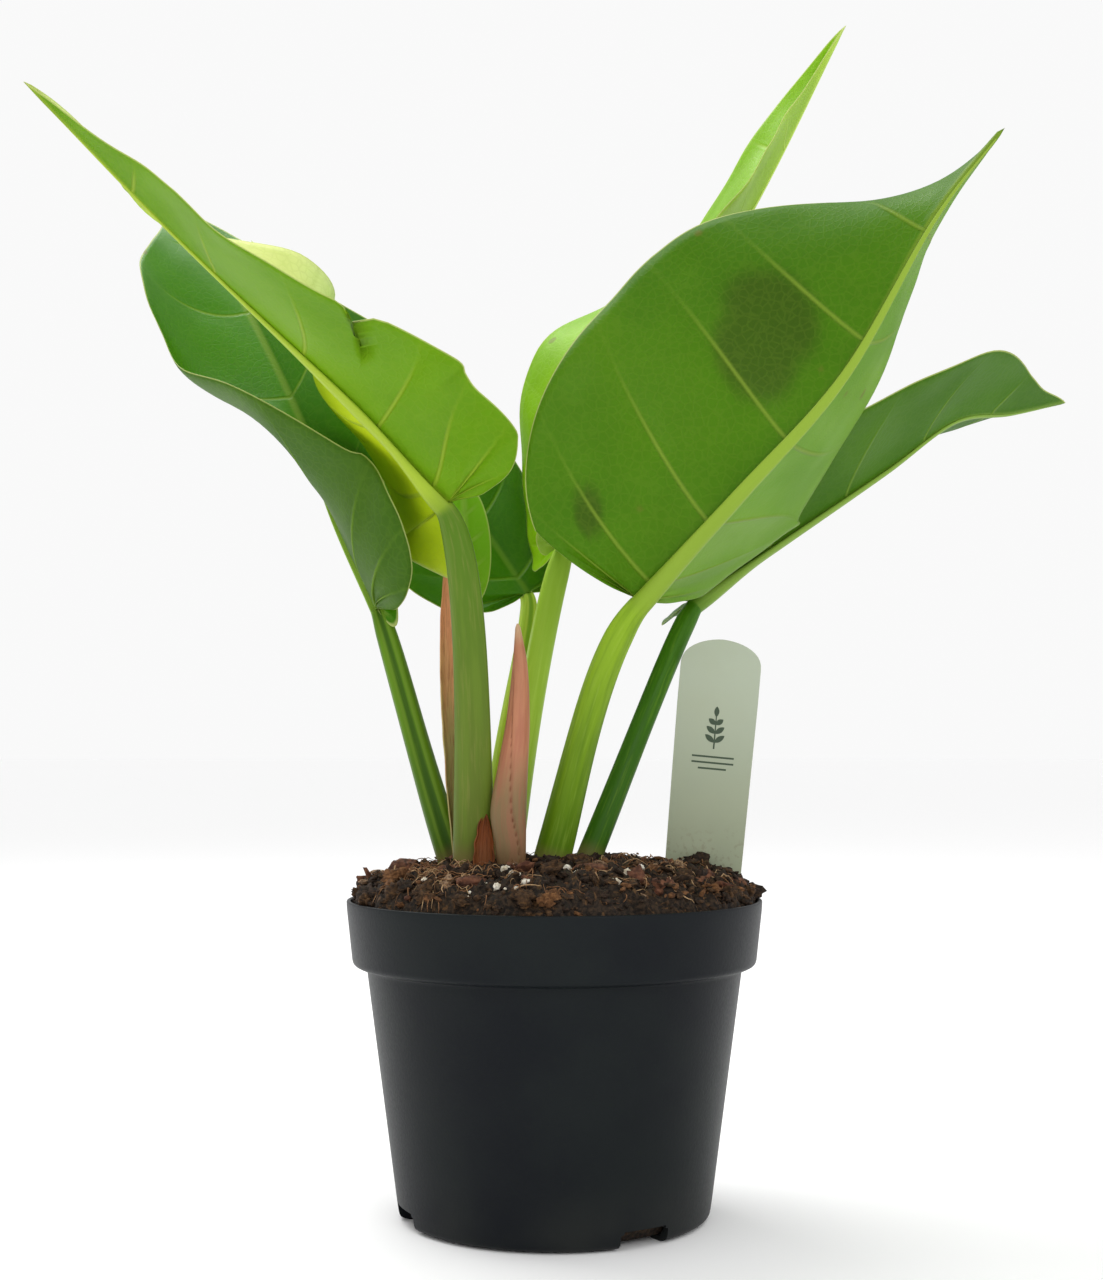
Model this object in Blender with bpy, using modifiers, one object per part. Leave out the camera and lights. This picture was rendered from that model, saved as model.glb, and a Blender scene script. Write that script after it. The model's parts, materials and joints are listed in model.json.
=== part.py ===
"""Potted philodendron: a nursery pot of potting mix with a plant label, and a clump of seven leaves
on long stalks with a tall dry sheath and a rolled new shoot.

Metres, +Z up. The pot stands on z = 0 with its axis on the z axis, and the broad view is from -Y.
Every leaf is two bodies: a stalk that runs on under the blade as its midrib, and the blade itself.
"""

import math

import bmesh
import bpy
import numpy as np
from mathutils import Vector, noise

for old in list(bpy.data.objects):
    bpy.data.objects.remove(old)

# ---------------------------------------------------------------- sizes

CLEARANCE = 0.0003          # gap between any two bodies that meet
SOCKET_GAP = 0.0006         # how far a cutter is grown, which leaves CLEARANCE at its corners too

POT_HEIGHT = 0.117
RIM_RADIUS = 0.078
FOOT_RADIUS = 0.058
POT_WALL = 0.0016
COLLAR_HEIGHT = 0.024
COLLAR_TAPER = 0.0025       # how much narrower the collar is at its lower edge
COLLAR_STEP = 0.0053        # how far the wall stands in from the collar's lower edge
FOOT_CORNER = 0.006
SLOT_WIDTH = 0.020
SLOT_HEIGHT = 0.0068
SLOT_ANGLES = (33, 110, 213, 290)   # degrees round from the front, towards +X

SOIL_GAP = 0.0008
SOIL_EDGE_DROP = 0.003      # the mix meets the wall this far under the rim
SOIL_HEAP = 0.012           # how steeply it rises inside the rim
SOIL_CROWN = 0.0055         # and how much more it rises to the middle
SOIL_LUMPS = 0.0018

LABEL_WIDTH_LOW = 0.0285
LABEL_WIDTH_HIGH = 0.0315
LABEL_LENGTH = 0.135
LABEL_POINT = 0.026
LABEL_THICKNESS = 0.001
LABEL_BURIED = 0.047
LABEL_LEAN = 5.4            # degrees, towards +X
LABEL_PLACE = (0.058, 0.021)

CROWN_HEIGHT = 0.022
CROWN_TOP_DEPTH = 0.005     # top of the crown under the surface of the mix
STALK_BURIED = 0.010
ROOT_RADIUS = 0.0022
ROOT_LENGTH = 0.062

BLADE_THICKNESS = 0.0008
MIDRIB_END_RADIUS = 0.0008
MIDRIB_REACH = 0.86         # share of the blade that the midrib stands out under
RIB_GAP = 0.0006            # extra gap under the blade, because both are made of short straight pieces

SHEATH_LENGTH = 0.137
SHEATH_WIDTH = 0.0178
SHEATH_THICKNESS = 0.0008
SHOOT_LENGTH = 0.096
SHOOT_RADIUS = 0.0066
BRACT_LENGTH = 0.026
BRACT_WIDTH = 0.0066

# A heart-shaped blade: how far forward and how wide each half is, as shares of the blade's length
OUTLINE = ((0, 0), (-0.035, 0.07), (-0.03, 0.17), (0.04, 0.27), (0.15, 0.335), (0.29, 0.36),
           (0.45, 0.345), (0.61, 0.275), (0.75, 0.15), (0.87, 0.05), (1, 0))
MIDRIB_SLANT = 0.3          # the side veins leave the midrib this far behind the margin they reach
BLADE_ROWS = 12
STALK_SIDES = 8

# Each leaf:
#   foot    where the stalk leaves the mix, in plan
#   base    where the blade starts, from the foot, with its height over the surface of the mix
#   rise    the way the stalk sets off, and reach, the length of its two handles
#   radii   of the stalk at foot and top, and broad, how much wider than deep it is
#   length  of the blade, and course, its midrib as shares of that length from its start
#   facing  the way the upper side looks
#   lobe    how far the two lobes at the stalk run back against OUTLINE, and blunt, how full the tip is
#   width   of the halves against OUTLINE
#   fold    how far each half is raised off flat, and curl, how much further it turns by its margin, in degrees
# lobe, width, fold and curl give the left and the right half, seen from above with the tip ahead,
# and the last three give them at equal steps from start to tip.
LEAVES = {
    "front_left": dict(
        foot=(-0.030, -0.008), base=(-0.008, -0.037, 0.130), rise=(0, -0.12, 1), reach=(0.35, 0.12),
        radii=(0.0060, 0.0046), broad=1.3, length=0.199,
        course=((0, 0, 0), (-0.115, -0.022, 0.118), (-0.255, -0.110, 0.249), (-0.490, -0.178, 0.468),
                (-0.689, -0.295, 0.663)),
        facing=(-0.03, -0.07, 1), lobe=(1, 3.2), blunt=0, columns=4,
        width=((1.10, 1.02), (0.89, 0.96), (0.68, 0.93), (0.85, 0.88), (0.95, 0.90)),
        fold=((39, -38), (10, 9), (0, 4), (-2, 1), (3, -8)),
        curl=((28, 8), (18, 31), (14, 65), (7, 31), (7, 6))),
    "left": dict(
        foot=(-0.039, 0.009), base=(-0.0290, -0.0050, 0.0958), rise=(-0.35, 0, 1), reach=(0.35, 0.12),
        radii=(0.0055, 0.0036), broad=1.05, length=0.266,
        course=((0, 0, 0), (-0.065, 0.044, 0.137), (-0.124, 0.074, 0.290), (-0.227, 0.202, 0.487),
                (-0.316, 0.333, 0.633), (-0.432, 0.467, 0.758)),
        facing=(-0.14, -0.91, 0.38), lobe=(1, 1), blunt=0.2, columns=5,
        width=((0.96, 0.08), (0.79, 0.15), (0.52, 0.28), (0.65, 0.30), (0.77, 0.30)),
        fold=((86, 12), (65, 5), (-11, 5), (-2, 0), (21, -20), (21, -20)),
        curl=((62, 10), (83, 10), (105, 10), (90, 10), (33, 10), (16, 10))),
    "young": dict(
        foot=(-0.033, 0.021), base=(-0.001, 0.001, 0.101), rise=(0, 0, 1), reach=(0.35, 0.12),
        radii=(0.0034, 0.0022), broad=1, length=0.059,
        course=((0, 0, 0), (-0.017, 0.017, 0.407), (-0.051, 0.034, 1)),
        facing=(0.1, -0.95, 0.2), lobe=(1, 1), blunt=0, columns=3,
        width=((0.52, 0.52), (0.52, 0.52)), fold=((20, 20), (20, 20)), curl=((30, 30), (20, 20), (20, 20))),
    "back": dict(
        foot=(-0.023, 0.027), base=(0.012, 0.0365, 0.107), rise=(-0.05, 0.05, 1), reach=(0.35, 0.1),
        radii=(0.0045, 0.0036), broad=1, length=0.219,
        course=((0, 0, 0), (-0.169, 0.091, 0.251), (-0.361, 0.192, 0.511), (-0.580, 0.288, 0.763)),
        facing=(0.35, -0.8, 0.45), lobe=(0.3, 0.3), blunt=0, columns=4,
        width=((0.7, 0.4), (0.7, 0.45)), fold=((-5, 0), (-5, -5), (0, -5)), curl=((10, 10), (10, 10))),
    "tall": dict(
        foot=(-0.018, 0.008), base=(0.020, 0.014, 0.122), rise=(0.12, 0.05, 1), reach=(0.35, 0.1),
        radii=(0.0058, 0.0048), broad=1, length=0.253,
        course=((0, 0, 0), (0.147, 0.041, 0.271), (0.326, 0.082, 0.585), (0.471, 0.113, 0.875)),
        facing=(-0.88, -0.09, 0.46), lobe=(1, 1), blunt=0, columns=4,
        width=((0.35, 0.60), (0.82, 0.60), (0.99, 0.60), (0.96, 0.63)),
        fold=((6, 15), (29, 12), (11, 12), (58, 30)), curl=((6, 11), (8, 7), (4, 1), (14, 5))),
    "front_right": dict(
        foot=(-0.001, -0.004), base=(0.032, -0.026, 0.096), rise=(0.27, -0.05, 1), reach=(0.35, 0.15),
        radii=(0.0060, 0.0045), broad=1, length=0.222,
        course=((0, 0, 0), (0.156, -0.105, 0.164), (0.320, -0.125, 0.349), (0.459, -0.153, 0.590),
                (0.592, -0.071, 0.766)),
        facing=(-0.26, 0.80, 0.55), lobe=(0.3, 0.3), blunt=0.8, columns=5,
        width=((0.95, 0.96), (1.09, 0.97), (0.94, 0.98), (0.80, 1.09), (0.78, 1.08)),
        fold=((36, 9), (34, 42), (41, 47), (29, 110)), curl=((6, -3), (11, 13), (16, 22), (10, 58))),
    "right": dict(
        foot=(0.0125, 0.006), base=(0.0425, 0.0285, 0.101), rise=(0.42, 0.07, 1), reach=(0.35, 0.06),
        radii=(0.0052, 0.0043), broad=1, length=0.232,
        course=((0, 0, 0), (0.190, 0.043, 0.129), (0.353, 0.086, 0.241), (0.491, 0.151, 0.341),
                (0.621, 0.259, 0.375), (0.759, 0.388, 0.422)),
        facing=(-0.56, 0.19, 0.80), lobe=(1, 1), blunt=1.5, columns=4,
        width=((0.80, 0.55), (0.80, 0.55), (0.74, 0.50), (0.78, 0.45), (0.85, 0.55)),
        fold=((8, 18), (8, 18), (18, 12), (35, 20)), curl=((5, 5), (5, 5))),
}

SHOOT_PLACE = (-0.0155, -0.0185)
SHEATH_PLACE = (-0.0285, 0.0016)
BRACT_PLACE = (-0.0264, -0.0170)
# place in plan and half sizes of the two crowns, and the ways their roots set off
CROWNS = {
    "crown_left": ((-0.0265, 0.006), (0.0195, 0.0235), (15, 100, 190, 275)),
    "crown_right": ((0.0055, 0.0005), (0.0115, 0.0095), (330, 60)),
}
# bark and wood pieces lying in the surface: place, half sizes, turn in degrees and share above it
CHIPS = (
    ((-0.037, -0.030), (0.0070, 0.0032, 0.0022), 38, 0.55),
    ((-0.029, -0.052), (0.0055, 0.0036, 0.0024), 10, 0.45),
    ((-0.056, -0.006), (0.0065, 0.0055, 0.0042), 75, 0.60),
    ((0.014, -0.030), (0.0085, 0.0055, 0.0022), -12, 0.50),
    ((0.052, -0.026), (0.0062, 0.0050, 0.0026), 25, 0.50),
    ((0.0675, -0.008), (0.0050, 0.0040, 0.0022), 60, 0.50),
    ((0.037, -0.052), (0.0050, 0.0035, 0.0028), -35, 0.45),
    ((0.020, 0.045), (0.0070, 0.0045, 0.0026), 20, 0.50),
)
# perlite grains: place and radius
GRAINS = (
    ((-0.0175, -0.038), 0.0021), ((-0.014, -0.045), 0.0022), ((0.0045, -0.036), 0.0019),
    ((-0.010, -0.060), 0.0018), ((0.0085, -0.050), 0.0020), ((0.026, -0.046), 0.0021),
    ((0.021, -0.060), 0.0018), ((-0.020, -0.061), 0.0017), ((0.031, -0.034), 0.0017),
    ((-0.046, -0.045), 0.0017),
)

# ---------------------------------------------------------------- helpers

scene = bpy.context.scene
plant = bpy.data.collections.new("potted_philodendron")
cutters = bpy.data.collections.new("cutters")
cutters.hide_render = True
scene.collection.children.link(plant)
scene.collection.children.link(cutters)


def material(name, colour, roughness, metallic=0.0):
    made = bpy.data.materials.new(name)
    made.use_nodes = True
    shader = made.node_tree.nodes["Principled BSDF"]
    shader.inputs["Base Color"].default_value = (*colour, 1)
    shader.inputs["Roughness"].default_value = roughness
    shader.inputs["Metallic"].default_value = metallic
    return made


def put(name, mesh, paint=None, smooth_faces=False):
    """Makes an object from a bmesh, in the plant's collection, or among the cutters if it has no paint."""
    mesh.normal_update()
    data = bpy.data.meshes.new(name)
    mesh.to_mesh(data)
    mesh.free()
    made = bpy.data.objects.new(name, data)
    if paint is None:
        cutters.objects.link(made)
        made.hide_render = True
        made.display_type = "WIRE"
        return made
    data.materials.append(paint)
    if smooth_faces:
        data.shade_smooth()
    plant.objects.link(made)
    return made


def cut(target, cutter):
    made = target.modifiers.new("cut_" + cutter.name, "BOOLEAN")
    made.operation = "DIFFERENCE"
    made.solver = "EXACT"
    made.object = cutter


def grown(name, mesh, amount):
    """Puts a cutter that is this mesh with every point moved out along its normal."""
    mesh.normal_update()
    moved = [(point, point.co + point.normal * amount) for point in mesh.verts]
    for point, place in moved:
        point.co = place
    return put(name, mesh)


def smooth(keys, t):
    """Catmull-Rom curve through equally spaced keys, read at shares t from 0 to 1."""
    keys = np.asarray(keys, float)
    if keys.ndim == 1:
        keys = keys[:, None]
    spans = len(keys) - 1
    t = np.clip(np.atleast_1d(t), 0, 1) * spans
    first = np.minimum(t.astype(int), spans - 1)
    u = (t - first)[:, None]
    ends = np.vstack([2 * keys[0] - keys[1], keys, 2 * keys[-1] - keys[-2]])
    a, b, c, d = ends[first], ends[first + 1], ends[first + 2], ends[first + 3]
    return 0.5 * (2 * b + (c - a) * u + (2 * a - 5 * b + 4 * c - d) * u**2
                  + (3 * b - a - 3 * c + d) * u**3)


def unit(v):
    v = np.asarray(v, float)
    return v / np.linalg.norm(v, axis=-1, keepdims=True)


def tube(points, wide, deep, sides):
    """Closed tube along points, whose sections are ellipses: wide across, deep from front to back."""
    points = np.asarray(points, float)
    ways = unit(np.gradient(points, axis=0))
    across = unit(np.cross((0, 1, 0), ways))
    front = np.cross(ways, across)
    mesh = bmesh.new()
    rings = []
    for point, side, face, w, d in zip(points, across, front, wide, deep):
        ring = []
        for k in range(sides):
            turn = 2 * math.pi * k / sides
            ring.append(mesh.verts.new(point + side * w * math.cos(turn) + face * d * math.sin(turn)))
        rings.append(ring)
    for low, high in zip(rings, rings[1:]):
        for k in range(sides):
            mesh.faces.new((low[k], low[(k + 1) % sides], high[(k + 1) % sides], high[k]))
    mesh.faces.new(rings[0][::-1])
    mesh.faces.new(rings[-1])
    bmesh.ops.recalc_face_normals(mesh, faces=mesh.faces[:])
    return mesh


def lump(half_sizes, steps, rough, seed):
    """Rounded lump about the origin with an uneven surface."""
    mesh = bmesh.new()
    bmesh.ops.create_icosphere(mesh, subdivisions=steps, radius=1)
    for point in mesh.verts:
        swell = 1 + rough * noise.noise(point.co * 1.7 + Vector((seed, 0, 0)))
        point.co = Vector([c * h * swell for c, h in zip(point.co, half_sizes)])
    return mesh


def move(mesh, place, turn=0):
    angle = math.radians(turn)
    for point in mesh.verts:
        x, y, z = point.co
        point.co = (place[0] + x * math.cos(angle) - y * math.sin(angle),
                    place[1] + x * math.sin(angle) + y * math.cos(angle), place[2] + z)
    return mesh


def sheet(grid):
    """Open surface from rows of points, with rows or columns that shrink to a point closed up."""
    mesh = bmesh.new()
    rows = [[mesh.verts.new(point) for point in row] for row in grid]
    for low, high in zip(rows, rows[1:]):
        for k in range(len(low) - 1):
            mesh.faces.new((low[k], low[k + 1], high[k + 1], high[k]))
    bmesh.ops.remove_doubles(mesh, verts=mesh.verts[:], dist=0.00005)
    return mesh


def thicken(made, thickness):
    solid = made.modifiers.new("thickness", "SOLIDIFY")
    solid.thickness = thickness
    solid.offset = 1


# ---------------------------------------------------------------- surface of the mix

SOIL_RADIUS = RIM_RADIUS - POT_WALL - SOIL_GAP


def ground(x, y):
    share = min(math.hypot(x, y) / SOIL_RADIUS, 1)
    rise = (SOIL_HEAP + SOIL_CROWN * (1 - share**2)) * (1 - share**12)
    bumps = noise.noise(Vector((x * 85, y * 85, 3.1))) + 0.5 * noise.noise(Vector((x * 210, y * 210, 8.7)))
    return POT_HEIGHT - SOIL_EDGE_DROP + rise + SOIL_LUMPS * bumps * (1 - share**12)


SURFACE = POT_HEIGHT - SOIL_EDGE_DROP + SOIL_HEAP + SOIL_CROWN   # level of the mix at the middle

# ---------------------------------------------------------------- pot

pot_plastic = material("pot_plastic", (0.022, 0.026, 0.025), 0.42)
collar_low = RIM_RADIUS - COLLAR_TAPER
wall_top = collar_low - COLLAR_STEP
collar_foot = POT_HEIGHT - COLLAR_HEIGHT
pot_profile = (
    (RIM_RADIUS - 0.0006, POT_HEIGHT), (RIM_RADIUS, POT_HEIGHT - 0.0008),
    (collar_low, collar_foot + 0.001), (collar_low - 0.0008, collar_foot),
    (wall_top, collar_foot - 0.0008), (FOOT_RADIUS + 0.0006, FOOT_CORNER),
    (FOOT_RADIUS - 0.0012, FOOT_CORNER * 0.35), (FOOT_RADIUS - 0.0045, 0), (0, 0),
    (0, POT_WALL), (FOOT_RADIUS - 0.005, POT_WALL), (FOOT_RADIUS - 0.001, FOOT_CORNER),
    (wall_top - POT_WALL, collar_foot - 0.0008), (wall_top - POT_WALL + 0.0005, collar_foot + 0.0012),
    (collar_low - POT_WALL, collar_foot + 0.0025), (RIM_RADIUS - POT_WALL, POT_HEIGHT - 0.0008),
    (RIM_RADIUS - POT_WALL + 0.0006, POT_HEIGHT),
)
profile = bmesh.new()
corners = [profile.verts.new((x, 0, z)) for x, z in pot_profile]
for first, second in zip(corners, corners[1:] + corners[:1]):
    if (first.co.x, second.co.x) != (0, 0):
        profile.edges.new((first, second))
pot = put("nursery_pot", profile, pot_plastic, True)
turned = pot.modifiers.new("turned", "SCREW")
turned.angle = 2 * math.pi
turned.steps = 40
turned.render_steps = 40
turned.use_merge_vertices = True
turned.merge_threshold = 0.00005
turned.use_normal_calculate = True
for number, angle in enumerate(SLOT_ANGLES):
    slot = bmesh.new()
    bmesh.ops.create_cube(slot, size=1)
    depth = 0.018
    turn = math.radians(angle - 90)
    for point in slot.verts:
        x = FOOT_RADIUS - 0.002 + point.co.x * depth
        y = point.co.y * SLOT_WIDTH
        z = point.co.z * (SLOT_HEIGHT + 0.002) + (SLOT_HEIGHT - 0.002) / 2
        point.co = (x * math.cos(turn) - y * math.sin(turn), x * math.sin(turn) + y * math.cos(turn), z)
    cut(pot, put(f"slot_{number}", slot))

# ---------------------------------------------------------------- potting mix

mix_brown = material("mix_brown", (0.045, 0.027, 0.017), 0.95)
soil = bmesh.new()
around = 34
shares = (0.16, 0.32, 0.48, 0.62, 0.75, 0.86, 0.94, 1.0)
lower = (
    (SOIL_RADIUS - (SOIL_EDGE_DROP + 0.004) * COLLAR_TAPER / COLLAR_HEIGHT, POT_HEIGHT - SOIL_EDGE_DROP - 0.004),
    (collar_low - POT_WALL - SOIL_GAP, collar_foot + 0.0031),
    (wall_top - POT_WALL - SOIL_GAP, collar_foot + 0.0017),
    (wall_top - POT_WALL - SOIL_GAP, collar_foot - 0.001),
    (FOOT_RADIUS - 0.001 - SOIL_GAP, FOOT_CORNER + 0.0004),
    (FOOT_RADIUS - 0.005 - SOIL_GAP, POT_WALL + SOIL_GAP),
)
rings = []
for share in shares:
    ring = []
    for k in range(around):
        turn = 2 * math.pi * k / around
        x, y = SOIL_RADIUS * share * math.cos(turn), SOIL_RADIUS * share * math.sin(turn)
        ring.append(soil.verts.new((x, y, ground(x, y))))
    rings.append(ring)
for radius, z in lower:
    ring = []
    for k in range(around):
        turn = 2 * math.pi * k / around
        ring.append(soil.verts.new((radius * math.cos(turn), radius * math.sin(turn), z)))
    rings.append(ring)
top = soil.verts.new((0, 0, ground(0, 0)))
under = soil.verts.new((0, 0, POT_WALL + SOIL_GAP))
for k in range(around):
    following = (k + 1) % around
    soil.faces.new((top, rings[0][k], rings[0][following]))
    for outer, inner in zip(rings[1:], rings):
        soil.faces.new((inner[k], outer[k], outer[following], inner[following]))
    soil.faces.new((under, rings[-1][following], rings[-1][k]))
bmesh.ops.recalc_face_normals(soil, faces=soil.faces[:])
mix = put("potting_mix", soil, mix_brown, True)

# ---------------------------------------------------------------- plant label

label_plastic = material("label_plastic", (0.62, 0.66, 0.62), 0.45)


def label_mesh(extra):
    """Stake with a rounded top and a pointed foot, extra bigger all round."""
    half_low, half_high = LABEL_WIDTH_LOW / 2 + extra, LABEL_WIDTH_HIGH / 2 + extra
    long, corner = LABEL_LENGTH + extra, LABEL_WIDTH_HIGH * 0.38
    outline = [(0.001, -extra), (half_low, LABEL_POINT)]
    for k in range(6):
        turn = math.pi / 2 * k / 5
        outline.append((half_high - corner * (1 - math.cos(turn)) * 1.25,
                        long - corner * 0.8 * (1 - math.sin(turn))))
    outline += [(-x, z) for x, z in reversed(outline)]
    half_thick = LABEL_THICKNESS / 2 + extra
    lean = math.radians(LABEL_LEAN)
    mesh = bmesh.new()
    layers = []
    for y in (-half_thick, half_thick):
        layer = []
        for x, z in outline:
            up = z - LABEL_BURIED
            layer.append(mesh.verts.new((LABEL_PLACE[0] + x * math.cos(lean) + up * math.sin(lean),
                                         LABEL_PLACE[1] + y,
                                         SURFACE - 0.003 + up * math.cos(lean) - x * math.sin(lean))))
        layers.append(layer)
    mesh.faces.new(layers[0])
    mesh.faces.new(layers[1][::-1])
    for k in range(len(outline)):
        following = (k + 1) % len(outline)
        mesh.faces.new((layers[0][following], layers[0][k], layers[1][k], layers[1][following]))
    bmesh.ops.recalc_face_normals(mesh, faces=mesh.faces[:])
    return mesh


label = put("plant_label", label_mesh(0), label_plastic)
cut(mix, put("label_socket", label_mesh(SOCKET_GAP)))

# ---------------------------------------------------------------- crowns and roots

crown_flesh = material("crown_flesh", (0.20, 0.15, 0.07), 0.7)
root_cream = material("root_cream", (0.42, 0.33, 0.20), 0.75)
crowns = {}
for name, (place, half, root_ways) in CROWNS.items():
    middle = (place[0], place[1], SURFACE - CROWN_TOP_DEPTH - CROWN_HEIGHT / 2)
    shape = (half[0], half[1], CROWN_HEIGHT / 2)
    crowns[name] = put(name, move(lump(shape, 2, 0.08, 2.0), middle), crown_flesh, True)
    socket = grown(name + "_socket", move(lump(shape, 2, 0.08, 2.0), middle), SOCKET_GAP)
    cut(mix, socket)
    for number, way in enumerate(root_ways):
        turn = math.radians(way)
        out = Vector((math.cos(turn), math.sin(turn), 0))
        course = []
        for k in range(9):
            share = k / 8
            wander = 0.004 * math.sin(5 * share + number)
            place_k = Vector(middle) + out * (0.4 * half[0] + ROOT_LENGTH * 0.42 * share)
            place_k += Vector((-out.y, out.x, 0)) * wander
            place_k.z -= 0.45 * CROWN_HEIGHT / 2 + ROOT_LENGTH * 0.95 * share**1.4
            course.append(place_k)
        thick = [ROOT_RADIUS * (1 - 0.65 * k / 8) for k in range(9)]
        root = put(f"root_{name[6:]}_{number + 1}", tube(course, thick, thick, 6), root_cream, True)
        cut(root, socket)
        wider = [r + SOCKET_GAP for r in thick]
        end = (course[-1] - course[-2]).normalized() * SOCKET_GAP
        cut(mix, put(f"root_socket_{name[6:]}_{number + 1}",
                     tube(course[:-1] + [course[-1] + end], wider, wider, 6)))

# ---------------------------------------------------------------- leaves

blade_green = material("blade_green", (0.13, 0.30, 0.025), 0.38)
stalk_green = material("stalk_green", (0.20, 0.36, 0.05), 0.40)


class Spine:
    """A midrib as a fine polyline read by share of its length. It runs on straight before its start."""

    def __init__(self, points):
        self.points = smooth(points, np.linspace(0, 1, 97))
        steps = np.linalg.norm(np.diff(self.points, axis=0), axis=1)
        self.at = np.concatenate([[0], np.cumsum(steps)])
        self.length = self.at[-1]
        self.at = self.at / self.length
        self.ways = unit(np.gradient(self.points, axis=0))

    def point(self, share):
        inside = np.stack([np.interp(share, self.at, self.points[:, k]) for k in range(3)], -1)
        return inside + np.minimum(share, 0)[..., None] * self.ways[0] * self.length

    def way(self, share):
        return unit(np.stack([np.interp(share, self.at, self.ways[:, k]) for k in range(3)], -1))


def frame_of(leaf, spine, share):
    """Forward, right and upward ways of the blade at these shares of its length."""
    forward = spine.way(share)
    right = unit(np.cross(forward, unit(leaf["facing"])))
    return forward, right, np.cross(right, forward)


def blade_grid(leaf, spine):
    rows = np.linspace(0, 1, BLADE_ROWS + 1)
    outline = smooth(OUTLINE, rows)
    half = np.maximum(outline[:, 1], 0) * (1 + leaf["blunt"] * rows**4)
    widths = smooth(leaf["width"], rows)
    out = np.linspace(0, 1, leaf["columns"] + 1)[None, :]
    halves = []
    for number, side in enumerate((-1, 1)):
        ahead = np.where(outline[:, 0] < 0, outline[:, 0] * leaf["lobe"][number], outline[:, 0])
        start = np.clip(ahead - MIDRIB_SLANT * half, 0, 1)
        start[-1] = 1
        share = start[:, None] + (ahead - start)[:, None] * out**1.3
        forward, right, up = frame_of(leaf, spine, share)
        reach = (half * widths[:, number])[:, None] * spine.length
        keys = np.clip(share, 0, 1).ravel()
        fold = np.radians(smooth([f[number] for f in leaf["fold"]], keys)).reshape(share.shape)
        curl = np.radians(smooth([c[number] for c in leaf["curl"]], keys)).reshape(share.shape)
        curl = np.where(np.abs(curl) < 0.001, 0.001, curl)
        sideways = reach * np.sin(curl * out) / curl
        upwards = reach * (1 - np.cos(curl * out)) / curl
        cos, sin = np.cos(fold)[..., None], np.sin(fold)[..., None]
        halves.append(spine.point(share) + (side * right * cos + up * sin) * sideways[..., None]
                      + (up * cos - side * right * sin) * upwards[..., None])
    return np.concatenate([halves[0][:, ::-1], halves[1][:, 1:]], axis=1)


def stalk_course(leaf, spine, foot, extra):
    """Points and radii of the stalk from its buried end to the top, and of the midrib under the blade."""
    ribs = np.linspace(0, MIDRIB_REACH, 9)
    radius_rib = MIDRIB_END_RADIUS + (leaf["radii"][1] * 0.8 - MIDRIB_END_RADIUS) * (1 - ribs / MIDRIB_REACH)**1.2
    folds = smooth(leaf["fold"], ribs)
    droop = np.radians(np.clip(-folds.min(axis=1), 0, 40))
    forward, right, up = frame_of(leaf, spine, ribs)
    under_rib = spine.point(ribs) - up * ((radius_rib + CLEARANCE) / np.cos(droop))[:, None]
    under_rib = under_rib - up * RIB_GAP
    top = under_rib[0]
    chord = np.linalg.norm(top - foot)
    first = foot + unit(leaf["rise"]) * chord * leaf["reach"][0]
    second = top - forward[0] * chord * leaf["reach"][1]
    t = np.linspace(0, 1, 11)[:-1, None]
    rising = ((1 - t)**3 * foot + 3 * (1 - t)**2 * t * first + 3 * (1 - t) * t**2 * second + t**3 * top)
    buried = foot - unit(leaf["rise"]) * STALK_BURIED
    points = np.vstack([buried, rising, under_rib])
    low, high = leaf["radii"]
    radius = np.concatenate([[low], low + (high - low) * t[:, 0], radius_rib])
    broad = np.concatenate([[leaf["broad"]], leaf["broad"] + (1 - leaf["broad"]) * t[:, 0]**2, np.ones(len(ribs))])
    if extra:
        return points[:5], radius[:5] + extra, broad[:5]
    return points, radius, broad


for name, leaf in LEAVES.items():
    foot = np.array((*leaf["foot"], SURFACE))
    start = np.array((*leaf["foot"], SURFACE)) + np.array(leaf["base"])
    spine = Spine(start + np.array(leaf["course"]) * leaf["length"])
    blade = put("blade_" + name, sheet(blade_grid(leaf, spine)), blade_green, True)
    thicken(blade, BLADE_THICKNESS)
    points, radius, broad = stalk_course(leaf, spine, foot, 0)
    put("stalk_" + name, tube(points, radius * broad, radius, STALK_SIDES), stalk_green, True)
    points, radius, broad = stalk_course(leaf, spine, foot, SOCKET_GAP)
    points[0] -= unit(leaf["rise"]) * SOCKET_GAP
    socket = put(f"stalk_{name}_socket", tube(points, radius * broad, radius, STALK_SIDES))
    cut(mix, socket)
    for crown in crowns.values():
        cut(crown, socket)

# ---------------------------------------------------------------- tall dry sheath, new shoot, dry bract

sheath_tan = material("sheath_tan", (0.42, 0.20, 0.11), 0.55)
shoot_pink = material("shoot_pink", (0.55, 0.30, 0.22), 0.45)
bract_brown = material("bract_brown", (0.16, 0.07, 0.025), 0.8)


def scale_leaf(place, length, width, buried, lean, bend, hold, rows, across):
    """A sheathing scale: widest low down, pointed at the top, hollow towards -Y."""
    grid = []
    for k in range(rows + 1):
        share = k / rows
        half = width / 2 * (1 - share**5)**0.8 * (0.92 + 0.16 * math.sin(math.pi * share))
        turn = math.radians(hold) * (1 - 0.8 * share)
        row = []
        for j in range(-across, across + 1):
            angle = turn * j / across
            x = half * math.sin(angle) / max(math.sin(turn), 0.01)
            y = -half * (1 - math.cos(angle)) / max(math.sin(turn), 0.01)
            row.append((place[0] + lean[0] * share**bend + x, place[1] + lean[1] * share + y,
                        SURFACE - buried + length * share))
        grid.append(row)
    return grid


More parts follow.
